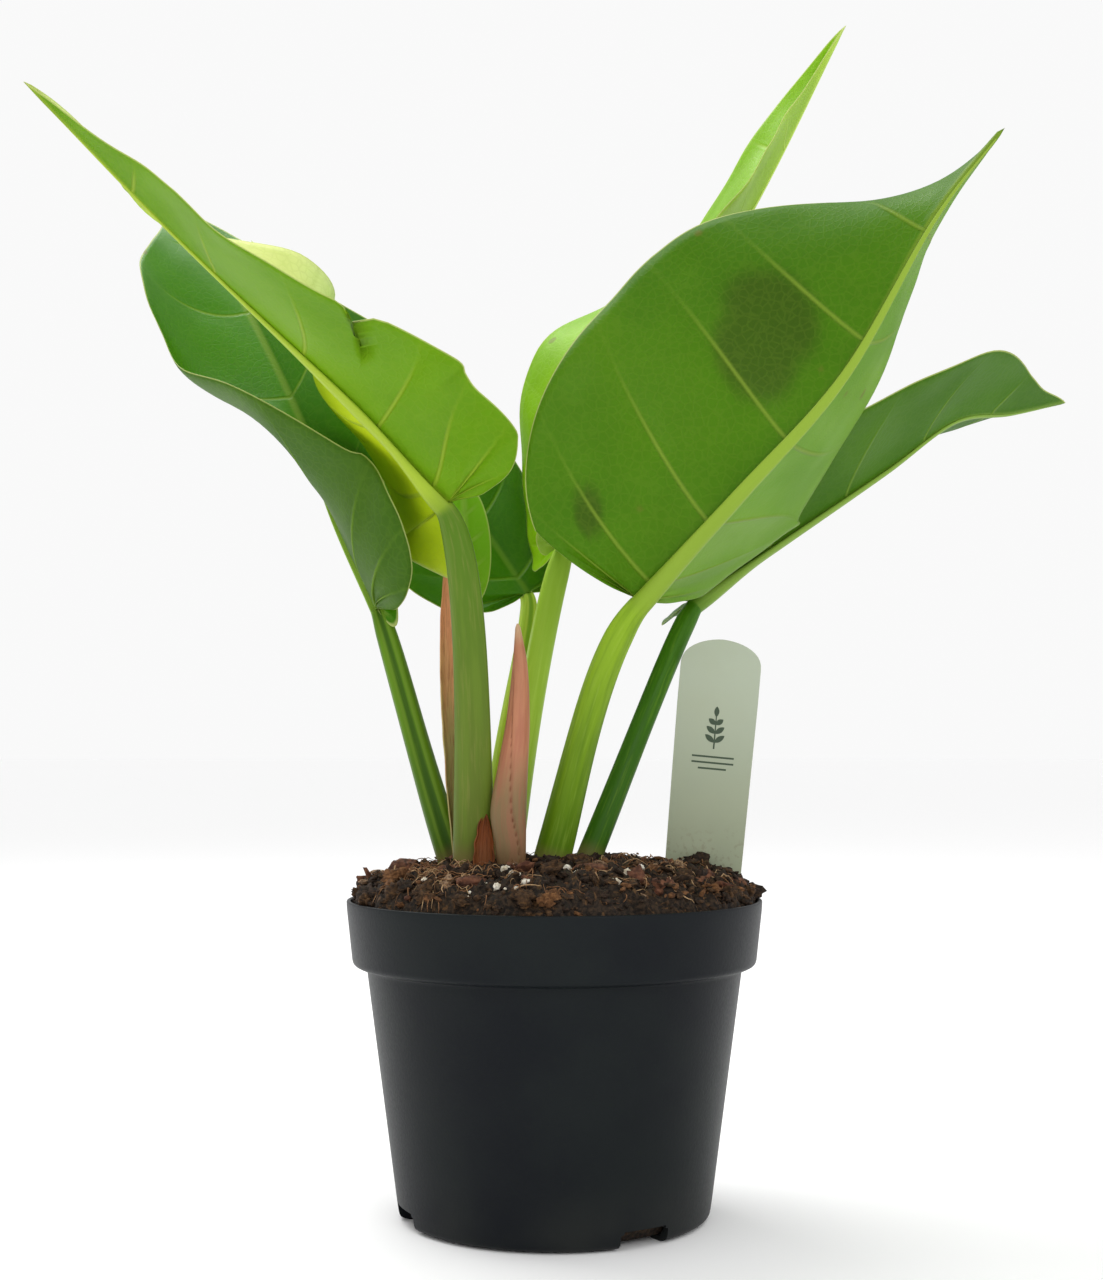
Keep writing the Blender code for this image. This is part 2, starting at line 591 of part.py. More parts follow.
sheath_grid = scale_leaf(SHEATH_PLACE, SHEATH_LENGTH, SHEATH_WIDTH, 0.006, (-0.0085, -0.001), 0.8, 62, 12, 4)
sheath = put("tall_sheath", sheet(sheath_grid), sheath_tan, True)
thicken(sheath, SHEATH_THICKNESS)
low_sheath = scale_leaf(SHEATH_PLACE, SHEATH_LENGTH, SHEATH_WIDTH + 2 * SOCKET_GAP, 0.006 + SOCKET_GAP,
                        (-0.0085, -0.001), 0.8, 62, 12, 4)[:5]
socket = put("sheath_socket", sheet(low_sheath))
room = socket.modifiers.new("thickness", "SOLIDIFY")
room.thickness = SHEATH_THICKNESS + 2 * SOCKET_GAP
room.offset = SHEATH_THICKNESS / (SHEATH_THICKNESS + 2 * SOCKET_GAP)
cut(mix, socket)
for crown in crowns.values():
    cut(crown, socket)

shoot_course = ((0.000, 0, -0.09), (-0.001, 0, 0.07), (-0.0018, 0.0002, 0.20), (0, 0.001, 0.38),
                (0.0018, 0.002, 0.55), (0.0026, 0.0028, 0.75), (0.0018, 0.0034, 0.92))
shoot_girth = (0.70, 0.86, 1.0, 0.84, 0.66, 0.44, 0.13)
steps = np.linspace(0, 1, 15)
shoot_points = smooth(shoot_course, steps) * (1, 1, SHOOT_LENGTH) + (*SHOOT_PLACE, SURFACE)
shoot_radius = smooth(shoot_girth, steps)[:, 0] * SHOOT_RADIUS
put("new_shoot", tube(shoot_points, shoot_radius, shoot_radius * 0.85, 10), shoot_pink, True)
room_points, room_radius = shoot_points[:5].copy(), shoot_radius[:5] + SOCKET_GAP
room_points[0] -= (0, 0, SOCKET_GAP)
socket = put("shoot_socket", tube(room_points, room_radius, room_radius * 0.87, 10))
cut(mix, socket)
for crown in crowns.values():
    cut(crown, socket)

bract_grid = scale_leaf(BRACT_PLACE, BRACT_LENGTH, BRACT_WIDTH, 0.008, (0.0008, 0.0015), 1.0, 50, 6, 3)
bract = put("dry_bract", sheet(bract_grid), bract_brown, True)
thicken(bract, SHEATH_THICKNESS)
socket = put("bract_socket", sheet(scale_leaf(BRACT_PLACE, BRACT_LENGTH, BRACT_WIDTH + 2 * SOCKET_GAP,
                                               0.008 + SOCKET_GAP, (0.0008, 0.0015), 1.0, 50, 6, 3)[:5]))
room = socket.modifiers.new("thickness", "SOLIDIFY")
room.thickness = SHEATH_THICKNESS + 2 * SOCKET_GAP
room.offset = SHEATH_THICKNESS / (SHEATH_THICKNESS + 2 * SOCKET_GAP)
cut(mix, socket)

# ---------------------------------------------------------------- bark chips and perlite

bark_brown = material("bark_brown", (0.17, 0.075, 0.035), 0.9)
perlite_white = material("perlite_white", (0.75, 0.72, 0.66), 0.9)
for number, (place, half, turn, above) in enumerate(CHIPS, 1):
    z = ground(*place) + half[2] * (2 * above - 1)
    shape = lump(half, 2, 0.35, 3.0 * number)
    put(f"bark_chip_{number}", move(shape, (*place, z), turn), bark_brown)
    shape = lump(half, 2, 0.35, 3.0 * number)
    cut(mix, grown(f"chip_socket_{number}", move(shape, (*place, z), turn), SOCKET_GAP))
for number, (place, radius) in enumerate(GRAINS, 1):
    z = ground(*place) + 0.2 * radius
    shape = lump((radius, radius * 0.85, radius * 0.8), 1, 0.3, 5.0 * number)
    put(f"perlite_{number}", move(shape, (*place, z), 30 * number), perlite_white)
    shape = lump((radius, radius * 0.85, radius * 0.8), 1, 0.3, 5.0 * number)
    cut(mix, grown(f"perlite_socket_{number}", move(shape, (*place, z), 30 * number), SOCKET_GAP))
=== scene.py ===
"""Potted philodendron: seven heart-shaped leaves on long stalks, in a nursery pot with a plant label."""

import json
import math
import random

import bmesh
import bpy
import numpy as np
from mathutils import Matrix, Vector, noise

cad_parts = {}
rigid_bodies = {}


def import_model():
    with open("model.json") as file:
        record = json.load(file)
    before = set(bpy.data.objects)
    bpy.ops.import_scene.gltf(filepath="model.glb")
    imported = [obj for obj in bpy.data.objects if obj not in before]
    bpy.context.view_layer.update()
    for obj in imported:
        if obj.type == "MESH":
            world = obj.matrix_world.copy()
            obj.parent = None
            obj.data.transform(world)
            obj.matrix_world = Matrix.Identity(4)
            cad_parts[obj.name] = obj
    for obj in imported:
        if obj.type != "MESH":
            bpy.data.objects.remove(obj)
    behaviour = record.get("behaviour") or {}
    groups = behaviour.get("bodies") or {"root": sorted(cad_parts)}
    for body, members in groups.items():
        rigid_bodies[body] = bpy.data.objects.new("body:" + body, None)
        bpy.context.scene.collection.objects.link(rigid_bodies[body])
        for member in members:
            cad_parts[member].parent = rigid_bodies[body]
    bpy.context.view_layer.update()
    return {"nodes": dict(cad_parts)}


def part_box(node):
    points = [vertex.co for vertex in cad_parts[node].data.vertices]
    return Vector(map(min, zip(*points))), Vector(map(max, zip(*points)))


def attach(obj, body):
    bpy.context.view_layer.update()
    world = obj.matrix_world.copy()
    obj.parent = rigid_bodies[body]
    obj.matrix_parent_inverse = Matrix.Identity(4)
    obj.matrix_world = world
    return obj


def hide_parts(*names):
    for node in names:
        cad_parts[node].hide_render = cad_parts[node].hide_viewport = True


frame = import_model()

# ---------------------------------------------------------------- floor, light and camera
# A pale seamless floor under a white studio, with two large soft lamps over the plant,
# and a camera at the height of the mix, looking slightly up.


def node(tree, kind, values=None, **settings):
    """Adds a shader node. A value that is a socket is linked, and any other value is set."""
    made = tree.nodes.new(kind)
    for key, value in settings.items():
        setattr(made, key, value)
    for key, value in (values or {}).items():
        if isinstance(value, bpy.types.NodeSocket):
            tree.links.new(value, made.inputs[key])
        else:
            made.inputs[key].default_value = value
    return made


def maths(tree, operation, first, second=0.0):
    return node(tree, "ShaderNodeMath", {0: first, 1: second}, operation=operation).outputs[0]


def band(tree, value, low, high, start=0.0, end=1.0):
    """Smooth step from start at low to end at high."""
    values = {"Value": value, "From Min": low, "From Max": high, "To Min": start, "To Max": end}
    return node(tree, "ShaderNodeMapRange", values, interpolation_type="SMOOTHSTEP").outputs[0]


def tint(tree, share, first, second):
    """Colour that goes from first to second as share goes from 0 to 1."""
    return node(tree, "ShaderNodeMix", {0: share, 6: first, 7: second}, data_type="RGBA").outputs[2]


def colour(red, green, blue):
    """Screen colour from 0 to 255, as the linear colour that shaders take."""
    return (*(((c / 255 + 0.055) / 1.055)**2.4 if c > 10 else c / 3295 for c in (red, green, blue)), 1.0)


def finish_named(name, roughness, shine=0.22):
    """New material, its node tree and its Principled shader. shine is how strongly its skin reflects."""
    made = bpy.data.materials.new(name)
    made.use_nodes = True
    shader = made.node_tree.nodes["Principled BSDF"]
    shader.inputs["Roughness"].default_value = roughness
    shader.inputs["Specular IOR Level"].default_value = shine
    return made, made.node_tree, shader


def finish_linked(tree, shader, body, roughness=None, skin=None):
    """Links a finish's colour, its roughness and its bumpy skin to its shader."""
    for value, socket in ((body, "Base Color"), (roughness, "Roughness"), (skin, "Normal")):
        if value is not None:
            tree.links.new(value, shader.inputs[socket])


FLOOR_SIDES = 48
floor_mesh = bmesh.new()
floor_rings = []
for reach in (0.5, 1.5, 4, 10, 25, 60):
    turns = [math.pi * k / (FLOOR_SIDES / 2) for k in range(FLOOR_SIDES)]
    floor_rings.append([floor_mesh.verts.new((reach * math.cos(turn), reach * math.sin(turn), 0)) for turn in turns])
floor_mesh.faces.new(floor_rings[0])
for inner, outer in zip(floor_rings, floor_rings[1:]):
    for k in range(FLOOR_SIDES):
        after = (k + 1) % FLOOR_SIDES
        floor_mesh.faces.new((inner[k], outer[k], outer[after], inner[after]))
floor_data = bpy.data.meshes.new("studio_floor")
floor_mesh.to_mesh(floor_data)
floor_mesh.free()
floor_data.shade_smooth()
floor = bpy.data.objects.new("studio_floor", floor_data)
bpy.context.scene.collection.objects.link(floor)
floor_paint, floor_tree, floor_shader = finish_named("studio_floor", 0.9)
floor_cloud = node(floor_tree, "ShaderNodeTexNoise", {"Scale": 3.0, "Detail": 2.0})
finish_linked(floor_tree, floor_shader, tint(
    floor_tree, floor_cloud.outputs[0], (0.985, 0.985, 0.985, 1), (0.999, 0.999, 0.999, 1)))
floor_data.materials.append(floor_paint)

studio = bpy.data.worlds.new("studio")
studio.use_nodes = True
studio.node_tree.nodes["Background"].inputs["Color"].default_value = (1, 1, 1, 1)
studio.node_tree.nodes["Background"].inputs["Strength"].default_value = 0.95
bpy.context.scene.world = studio
# name, place, point looked at, width and height in metres, power in watts
for name, place, target, wide, high, power in (
        ("lamp_above", (-0.5, 0.5, 1.5), (0, 0, 0.3), 1.2, 1.0, 16),
        ("lamp_front", (0.7, -1.5, 1.0), (0, 0, 0.25), 1.0, 1.0, 7)):
    lamp_data = bpy.data.lights.new(name, "AREA")
    lamp_data.shape = "RECTANGLE"
    lamp_data.size, lamp_data.size_y, lamp_data.energy = wide, high, power
    lamp = bpy.data.objects.new(name, lamp_data)
    lamp.location = place
    lamp.rotation_euler = (Vector(target) - Vector(place)).to_track_quat("-Z", "Y").to_euler()
    bpy.context.scene.collection.objects.link(lamp)

camera_data = bpy.data.cameras.new("camera")
camera_data.lens = 51.58
camera_data.sensor_width = 36
camera_data.clip_start = 0.01
camera = bpy.data.objects.new("camera", camera_data)
camera.location = (-0.0011, -0.697, 0.1713)
camera.rotation_euler = (math.radians(90 + 3.56), 0, 0)
bpy.context.scene.collection.objects.link(camera)
bpy.context.scene.camera = camera
bpy.context.scene.view_settings.view_transform = "Standard"

# ---------------------------------------------------------------- nursery pot
# One thin injection-moulded pot of dark recycled plastic. It has a deep collar, a stepped wall,
# a rounded foot and four drain slots cut low in the wall.


def group_named(name, inputs, outputs):
    """New shader node group. Inputs are (name, kind, value), outputs (name, kind)."""
    made = bpy.data.node_groups.new(name, "ShaderNodeTree")
    for label, kind, value in inputs:
        made.interface.new_socket(label, in_out="INPUT", socket_type=kind).default_value = value
    for label, kind in outputs:
        made.interface.new_socket(label, in_out="OUTPUT", socket_type=kind)
    return made, made.nodes.new("NodeGroupInput").outputs, made.nodes.new("NodeGroupOutput").inputs


def placed(tree, group, **values):
    """Outputs of a group placed in a material, with underscores in the names of values for spaces."""
    made = node(tree, "ShaderNodeGroup", node_tree=group)
    for key, value in values.items():
        socket = made.inputs[key.replace("_", " ")]
        if isinstance(value, bpy.types.NodeSocket):
            tree.links.new(value, socket)
        else:
            socket.default_value = value
    return made.outputs


def bump(tree, height, strength, distance):
    return node(tree, "ShaderNodeBump", {"Height": height, "Strength": strength, "Distance": distance}).outputs[0]


# Cloudy patches and fine grain, which moulded plastic, soil and bark all show.
mottle, given, out = group_named(
    "mottle",
    (("Patch Scale", "NodeSocketFloat", 20), ("Grain Scale", "NodeSocketFloat", 400),
     ("Seed", "NodeSocketFloat", 0)),
    (("Patches", "NodeSocketFloat"), ("Grain", "NodeSocketFloat"), ("Pits", "NodeSocketFloat")))
spot = node(mottle, "ShaderNodeTexCoord").outputs["Object"]
spot = node(mottle, "ShaderNodeVectorMath", {0: spot, 1: given["Seed"]}, operation="ADD").outputs[0]
patches = node(mottle, "ShaderNodeTexNoise", {"Vector": spot, "Scale": given["Patch Scale"], "Detail": 4.0})
grain = node(mottle, "ShaderNodeTexNoise", {"Vector": spot, "Scale": given["Grain Scale"], "Detail": 3.0})
pits = node(mottle, "ShaderNodeTexVoronoi", {"Vector": spot, "Scale": given["Grain Scale"]})
mottle.links.new(band(mottle, patches.outputs[0], 0.35, 0.65), out["Patches"])
mottle.links.new(grain.outputs[0], out["Grain"])
mottle.links.new(pits.outputs["Distance"], out["Pits"])

pot_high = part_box("nursery_pot")[1]
POT_HEIGHT = pot_high.z
RIM_RADIUS = pot_high.x
FOOT_RADIUS = 0.058
POT_WALL = 0.0016
COLLAR_RADIUS = RIM_RADIUS - 0.0025      # at its lower edge
WALL_RADIUS = COLLAR_RADIUS - 0.0053     # under the collar
COLLAR_FOOT = POT_HEIGHT - 0.024


def turned(profile, sides):
    """Body of revolution about the z axis from a closed profile of (radius, height)."""
    mesh = bmesh.new()
    columns = []
    for k in range(sides):
        turn = 2 * math.pi * k / sides
        columns.append([mesh.verts.new((r * math.cos(turn), r * math.sin(turn), z)) for r, z in profile])
    for first, second in zip(columns, columns[1:] + columns[:1]):
        for k in range(len(profile)):
            after = (k + 1) % len(profile)
            if profile[k][0] or profile[after][0]:
                mesh.faces.new((first[k], second[k], second[after], first[after]))
    bmesh.ops.remove_doubles(mesh, verts=mesh.verts[:], dist=1e-7)
    bmesh.ops.recalc_face_normals(mesh, faces=mesh.faces[:])
    return mesh


def rounded(corners, cuts=5):
    """Profile with each corner (radius, height, rounding) swept through a small curve."""
    path = []
    for k, (x, z, bend) in enumerate(corners):
        here = Vector((x, z))
        before, after = Vector(corners[k - 1][:2]), Vector(corners[(k + 1) % len(corners)][:2])
        if bend == 0:
            path.append((x, z))
            continue
        start = here + (before - here).normalized() * bend
        end = here + (after - here).normalized() * bend
        for j in range(cuts + 1):
            t = j / cuts
            point = start * (1 - t)**2 + here * 2 * t * (1 - t) + end * t**2
            path.append((point.x, point.y))
    return path


def put(name, mesh, paints, smooth=True):
    """Object from a bmesh or from mesh data, with its materials."""
    if isinstance(mesh, bmesh.types.BMesh):
        data = bpy.data.meshes.new(name)
        mesh.to_mesh(data)
        mesh.free()
    else:
        data = mesh
    for paint in paints:
        data.materials.append(paint)
    if smooth:
        data.shade_smooth()
    made = bpy.data.objects.new(name, data)
    bpy.context.scene.collection.objects.link(made)
    return made


pot_profile = rounded((
    (RIM_RADIUS, POT_HEIGHT, 0.0007), (RIM_RADIUS - 0.0002, POT_HEIGHT - 0.0035, 0.0012),
    (COLLAR_RADIUS, COLLAR_FOOT, 0.0022), (WALL_RADIUS + 0.0002, COLLAR_FOOT - 0.0006, 0.0016),
    (FOOT_RADIUS + 0.0006, 0.0062, 0.0012), (FOOT_RADIUS - 0.0002, 0.0014, 0.0016),
    (FOOT_RADIUS - 0.0040, 0, 0.0012), (FOOT_RADIUS - 0.009, 0, 0.0004), (FOOT_RADIUS - 0.0105, 0.0006, 0.0004),
    (0, 0.0006, 0), (0, POT_WALL, 0), (FOOT_RADIUS - 0.0045, POT_WALL, 0.002),
    (FOOT_RADIUS - 0.0012, 0.0065, 0.002), (WALL_RADIUS - POT_WALL, COLLAR_FOOT, 0.001),
    (COLLAR_RADIUS - POT_WALL, COLLAR_FOOT + 0.0022, 0.001), (RIM_RADIUS - POT_WALL, POT_HEIGHT, 0.0005)))
pot_paint, tree, shader = finish_named("pot_plastic", 0.45, 0.12)
marks = placed(tree, mottle, Patch_Scale=16, Grain_Scale=900)
height_up = node(tree, "ShaderNodeSeparateXYZ", {0: node(tree, "ShaderNodeTexCoord").outputs["Object"]}).outputs[2]
dust = maths(tree, "MULTIPLY", marks["Patches"], band(tree, height_up, 0.03, 0.0, 0.15, 0.9))
plastic = tint(tree, marks["Patches"], colour(11, 15, 20), colour(15, 21, 23))
finish_linked(tree, shader, tint(tree, maths(tree, "MULTIPLY", dust, 0.16), plastic, colour(74, 72, 66)),
              maths(tree, "ADD", maths(tree, "MULTIPLY", marks["Grain"], 0.16), 0.36),
              bump(tree, marks["Grain"], 0.12, 0.0004))
pot = put("pot_body", turned(pot_profile, 160), [pot_paint])
SLOT_ANGLES = (33, 110, 213, 290)                 # degrees round the pot
SLOT_DEEP, SLOT_WIDE, SLOT_HIGH, SLOT_MIDDLE = 0.018, 0.020, 0.0088, 0.0024
for number, angle in enumerate(SLOT_ANGLES):
    slot_mesh = bmesh.new()
    bmesh.ops.create_cube(slot_mesh, size=1)
    bmesh.ops.scale(slot_mesh, vec=(SLOT_DEEP, SLOT_WIDE, SLOT_HIGH), verts=slot_mesh.verts[:])
    bmesh.ops.translate(slot_mesh, vec=(FOOT_RADIUS - 0.002, 0, SLOT_MIDDLE), verts=slot_mesh.verts[:])
    bmesh.ops.bevel(slot_mesh, geom=[e for e in slot_mesh.edges if abs((e.verts[0].co - e.verts[1].co).x) > 0.01],
                    offset=0.0012, segments=3, affect="EDGES")
    bmesh.ops.rotate(slot_mesh, matrix=Matrix.Rotation(math.radians(angle - 90), 3, "Z"), verts=slot_mesh.verts[:])
    cutter = put(f"slot_cutter_{number}", slot_mesh, [pot_paint], False)
    cut = pot.modifiers.new("slot", "BOOLEAN")
    cut.operation, cut.solver, cut.object = "DIFFERENCE", "EXACT", cutter
bpy.context.view_layer.update()
pot_cut = bpy.data.meshes.new_from_object(pot.evaluated_get(bpy.context.evaluated_depsgraph_get()))
pot.modifiers.clear()
pot.data = pot_cut
for cutter in [o for o in bpy.data.objects if o.name.startswith("slot_cutter")]:
    bpy.data.objects.remove(cutter)
pot.data.shade_smooth()
pot.data.set_sharp_from_angle(angle=math.radians(35))
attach(pot, "root")
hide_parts("nursery_pot")

# ---------------------------------------------------------------- potting mix
# Moist peat, coir and composted bark, heaped a little above the rim. The body of it fills the pot;
# crumbs, coir fibres and small perlite lie loose over its surface.

SOIL_RADIUS = RIM_RADIUS - POT_WALL - 0.0004
SOIL_EDGE = POT_HEIGHT - 0.003
chance = random.Random(7)


def ground(x, y):
    """Height of the mix, with its lumps."""
    share = min(math.hypot(x, y) / SOIL_RADIUS, 1)
    level = SOIL_EDGE + (0.012 + 0.0055 * (1 - share**2)) * (1 - share**12)
    lumps = noise.noise(Vector((x * 85, y * 85, 3.1))) + 0.5 * noise.noise(Vector((x * 210, y * 210, 8.7)))
    return level + 0.0018 * lumps * (1 - share**12)


def crumbled(x, y):
    """Height of the mix with its fine crumbs too."""
    fine = noise.turbulence(Vector((x * 330, y * 330, 1.3)), 4, False) - 0.5
    clods = max(noise.noise(Vector((x * 130, y * 130, 5.5))), 0)
    share = min(math.hypot(x, y) / SOIL_RADIUS, 1)
    return ground(x, y) + 0.0034 * fine + 0.0030 * clods + 0.0065 * (share**12 - share**40)


soil_mesh = bmesh.new()
around = 260
rings = []
for share in [((k + 1) / 84)**0.85 for k in range(84)]:
    ring = []
    for k in range(around):
        turn = 2 * math.pi * k / around
        x, y = SOIL_RADIUS * share * math.cos(turn), SOIL_RADIUS * share * math.sin(turn)
        ring.append(soil_mesh.verts.new((x, y, crumbled(x, y))))
    rings.append(ring)
for radius, z in ((COLLAR_RADIUS - POT_WALL - 0.0006, COLLAR_FOOT + 0.0032),
                  (WALL_RADIUS - POT_WALL - 0.0006, COLLAR_FOOT - 0.001),
                  (FOOT_RADIUS - 0.0022, 0.008), (FOOT_RADIUS - 0.0055, POT_WALL + 0.0005)):
    ring = []
    for k in range(around):
        turn = 2 * math.pi * k / around
        rough = radius - 0.0006 * abs(noise.noise(Vector((math.cos(turn) * 9, math.sin(turn) * 9, z * 200))))
        ring.append(soil_mesh.verts.new((rough * math.cos(turn), rough * math.sin(turn), z)))
    rings.append(ring)
top = soil_mesh.verts.new((0, 0, crumbled(0, 0)))
under = soil_mesh.verts.new((0, 0, POT_WALL + 0.0005))
for k in range(around):
    after = (k + 1) % around
    soil_mesh.faces.new((top, rings[0][k], rings[0][after]))
    for inner, outer in zip(rings, rings[1:]):
        soil_mesh.faces.new((inner[k], outer[k], outer[after], inner[after]))
    soil_mesh.faces.new((under, rings[-1][after], rings[-1][k]))
bmesh.ops.recalc_face_normals(soil_mesh, faces=soil_mesh.faces[:])


def earth_paint(name, dark, light, rust, seed):
    """Dull crumbly finish, darker where its bumpy grain dips, which is painted shade in the hollows, and rusty in
    patches.
    """
    made, tree, shader = finish_named(name, 0.92)
    marks = placed(tree, mottle, Patch_Scale=60, Grain_Scale=700, Seed=seed)
    # fine runs from dark to light with the height of the bump, so the hollows carry painted shade
    fine = band(tree, marks["Grain"], 0.35, 0.7)
    body = tint(tree, fine, dark, light)
    streaky = node(tree, "ShaderNodeTexNoise", {"Scale": 38.0, "Detail": 5.0, "Distortion": 1.4})
    rusty = band(tree, streaky.outputs[0], 0.56, 0.70)
    finish_linked(tree, shader, tint(tree, rusty, body, rust),
                  band(tree, marks["Patches"], 0.0, 1.0, 0.78, 0.97), bump(tree, marks["Grain"], 0.7, 0.0012))
    return made


mix_paint = earth_paint("mix_brown", colour(20, 15, 11), colour(56, 43, 31), colour(84, 60, 36), 0.0)
mix = put("mix_body", soil_mesh, [mix_paint])
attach(mix, "root")
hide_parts("potting_mix")


def gathered(parts):
    """One mesh from many (points, faces, material number)."""
    points, faces, numbers, count = [], [], [], 0
    for part_points, part_faces, number in parts:
        points.append(part_points)
        faces += [tuple(i + count for i in face) for face in part_faces]
        numbers += [number] * len(part_faces)
        count += len(part_points)
    data = bpy.data.meshes.new("gathered")
    data.from_pydata(np.concatenate(points).tolist(), [], faces)
    data.polygons.foreach_set("material_index", numbers)
    data.update()
    return data


def ball(steps):
    """Points and faces of a unit ball."""
    mesh = bmesh.new()
    bmesh.ops.create_icosphere(mesh, subdivisions=steps, radius=1)
    points = np.array([v.co for v in mesh.verts])
    faces = [tuple(v.index for v in f.verts) for f in mesh.faces]
    mesh.free()
    return points, faces


def tumbled(points, half, rough, place):
    """A unit ball made into a rough lump with these half sizes, turned any way, at a place."""
    shift = Vector((chance.random() * 50, chance.random() * 50, 0))
    swell = np.array([1 + rough * noise.noise(Vector(p) * 1.9 + shift) for p in points])
    turn = np.array(Matrix.Rotation(chance.random() * 6.28, 3, "Z")
                    @ Matrix.Rotation(chance.gauss(0, 0.45), 3, "X") @ Matrix.Rotation(chance.gauss(0, 0.45), 3, "Y"))
    return (points * swell[:, None] * half) @ turn.T + place


def strewn(reach):
    """A random place on the mix, out to this share of its radius."""
    distance, turn = SOIL_RADIUS * reach * math.sqrt(chance.random()), chance.random() * 6.2832
    return distance * math.cos(turn), distance * math.sin(turn)


small_ball, small_faces = ball(1)
crumbs = []
for k in range(210):                        # clods, a third of them along the pot's wall
    distance, turn = SOIL_RADIUS * 0.95 * math.sqrt(chance.random()), chance.random() * 6.2832
    if k % 3 == 0:
        distance = SOIL_RADIUS * (0.93 + 0.05 * chance.random())
    x, y = distance * math.cos(turn), distance * math.sin(turn)
    size = 0.0014 + 0.0024 * chance.random()**1.6
    half = size * np.array((1 + 0.5 * chance.random(), 0.8 + 0.4 * chance.random(), 0.55 + 0.3 * chance.random()))
    clod, clod_faces = ball(3)
    rough = np.array([noise.turbulence(Vector(p) * 2.6 + Vector((k, 0, 0)), 3, False) for p in clod])
    clod = clod * (1 + 0.16 * rough[:, None])
    crumbs.append((tumbled(clod, half, 0.9, (x, y, crumbled(x, y) + size * 0.1)), clod_faces,
                   chance.choice((0, 0, 1, 1, 2))))
for k in range(2600):
    x, y = strewn(0.985)
    size = 0.0005 + 0.0013 * chance.random()**2.2
    half = size * np.array((1 + chance.random(), 0.7 + 0.6 * chance.random(), 0.4 + 0.5 * chance.random()))
    crumbs.append((tumbled(small_ball, half, 0.7, (x, y, crumbled(x, y) + size * 0.2)), small_faces,
                   chance.choice((0, 0, 0, 1, 1, 2))))
crumb_paints = [
    earth_paint("crumb_dark", colour(26, 19, 13), colour(54, 39, 28), colour(70, 50, 32), 3.0),
    earth_paint("crumb_brown", colour(44, 32, 22), colour(80, 58, 38), colour(100, 72, 44), 6.0),
    earth_paint("crumb_rust", colour(76, 50, 30), colour(116, 80, 50), colour(134, 94, 58), 9.0)]
loose = put("mix_crumbs", gathered(crumbs), crumb_paints)
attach(loose, "root")


def tube_faces(rings, sides, other_way=False):
    """Faces of a tube with these rings of points and an end cap at both ends, turned the other way if asked."""
    faces = [(i * sides + k, i * sides + (k + 1) % sides, (i + 1) * sides + (k + 1) % sides, (i + 1) * sides + k)
             for i in range(rings - 1) for k in range(sides)]
    caps = [tuple(range(sides))[::-1], tuple(range((rings - 1) * sides, rings * sides))]
    if other_way:
        return [(face[0], *face[:0:-1]) for face in faces] + [cap[::-1] for cap in caps]
    return faces + caps


def strand(points, radius, sides=5):
    """Points and faces of a thin tube that is pointed at both ends."""
    points = np.asarray(points, float)
    ways = np.gradient(points, axis=0)
    ways /= np.linalg.norm(ways, axis=1, keepdims=True)
    side = np.cross(ways, (0.1, 0.2, 1))
    side /= np.linalg.norm(side, axis=1, keepdims=True)
    over = np.cross(side, ways)
    turns = np.linspace(0, 2 * math.pi, sides, endpoint=False)
    thick = radius * np.sin(np.linspace(0.25, math.pi - 0.25, len(points)))
    ring = (side[:, None] * np.cos(turns)[None, :, None] + over[:, None] * np.sin(turns)[None, :, None])
    return (points[:, None] + ring * thick[:, None, None]).reshape(-1, 3), tube_faces(len(points), sides)


fibres = []
for k in range(560):
    x, y = strewn(0.96)
    if k % 4 == 0:                          # a tuft at the left front
        x, y = chance.gauss(-0.045, 0.013), chance.gauss(-0.040, 0.011)
        if math.hypot(x, y) > SOIL_RADIUS * 0.96:
            continue
    way, bend, reach = chance.random() * 6.2832, chance.gauss(0, 0.25), 0.004 + 0.010 * chance.random()**1.5
    lift = chance.random() * 0.0025
    course = []
    for j in range(8):
        course.append((x, y, crumbled(x, y) * 0.4 + ground(x, y) * 0.6 + 0.0005 + lift * math.sin(math.pi * j / 7)))
        x += reach / 7 * math.cos(way)
        y += reach / 7 * math.sin(way)
        way += bend
        if math.hypot(x, y) > SOIL_RADIUS * 0.99:
            break
    if len(course) > 3:
        fibres.append((*strand(course, 0.00010 + 0.00016 * chance.random()), chance.choice((0, 0, 1))))
fibre_paints = [
    earth_paint("coir_brown", colour(96, 66, 42), colour(140, 100, 68), colour(150, 106, 70), 12.0),
    earth_paint("coir_pale", colour(150, 118, 84), colour(186, 154, 116), colour(190, 156, 118), 15.0)]
coir = put("mix_fibres", gathered(fibres), fibre_paints)
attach(coir, "root")

# ---------------------------------------------------------------- bark pieces
# Broken flakes of composted bark lying flat in the mix, rust brown and fibrous along their length.

bark_paint, tree, shader = finish_named("bark_brown", 0.85)
marks = placed(tree, mottle, Patch_Scale=120, Grain_Scale=900)
spot = node(tree, "ShaderNodeTexCoord").outputs["Object"]
drawn_out = node(tree, "ShaderNodeVectorMath", {0: spot, 1: (1, 0.25, 1)}, operation="MULTIPLY").outputs[0]
fibrous = node(tree, "ShaderNodeTexNoise", {"Vector": drawn_out, "Scale": 520.0, "Detail": 4.0}).outputs[0]
body = tint(tree, band(tree, fibrous, 0.35, 0.68), colour(52, 33, 24), colour(118, 78, 56))
finish_linked(tree, shader, tint(tree, maths(tree, "MULTIPLY", marks["Patches"], 0.5), body, colour(92, 54, 40)),
              band(tree, marks["Grain"], 0.3, 0.7, 0.72, 0.95), bump(tree, fibrous, 0.6, 0.0010))
big_ball, big_faces = ball(4)
mid_ball, mid_faces = ball(3)
BARK_TURNS = (38, 10, 75, -12, 25, 60, -35, 20)
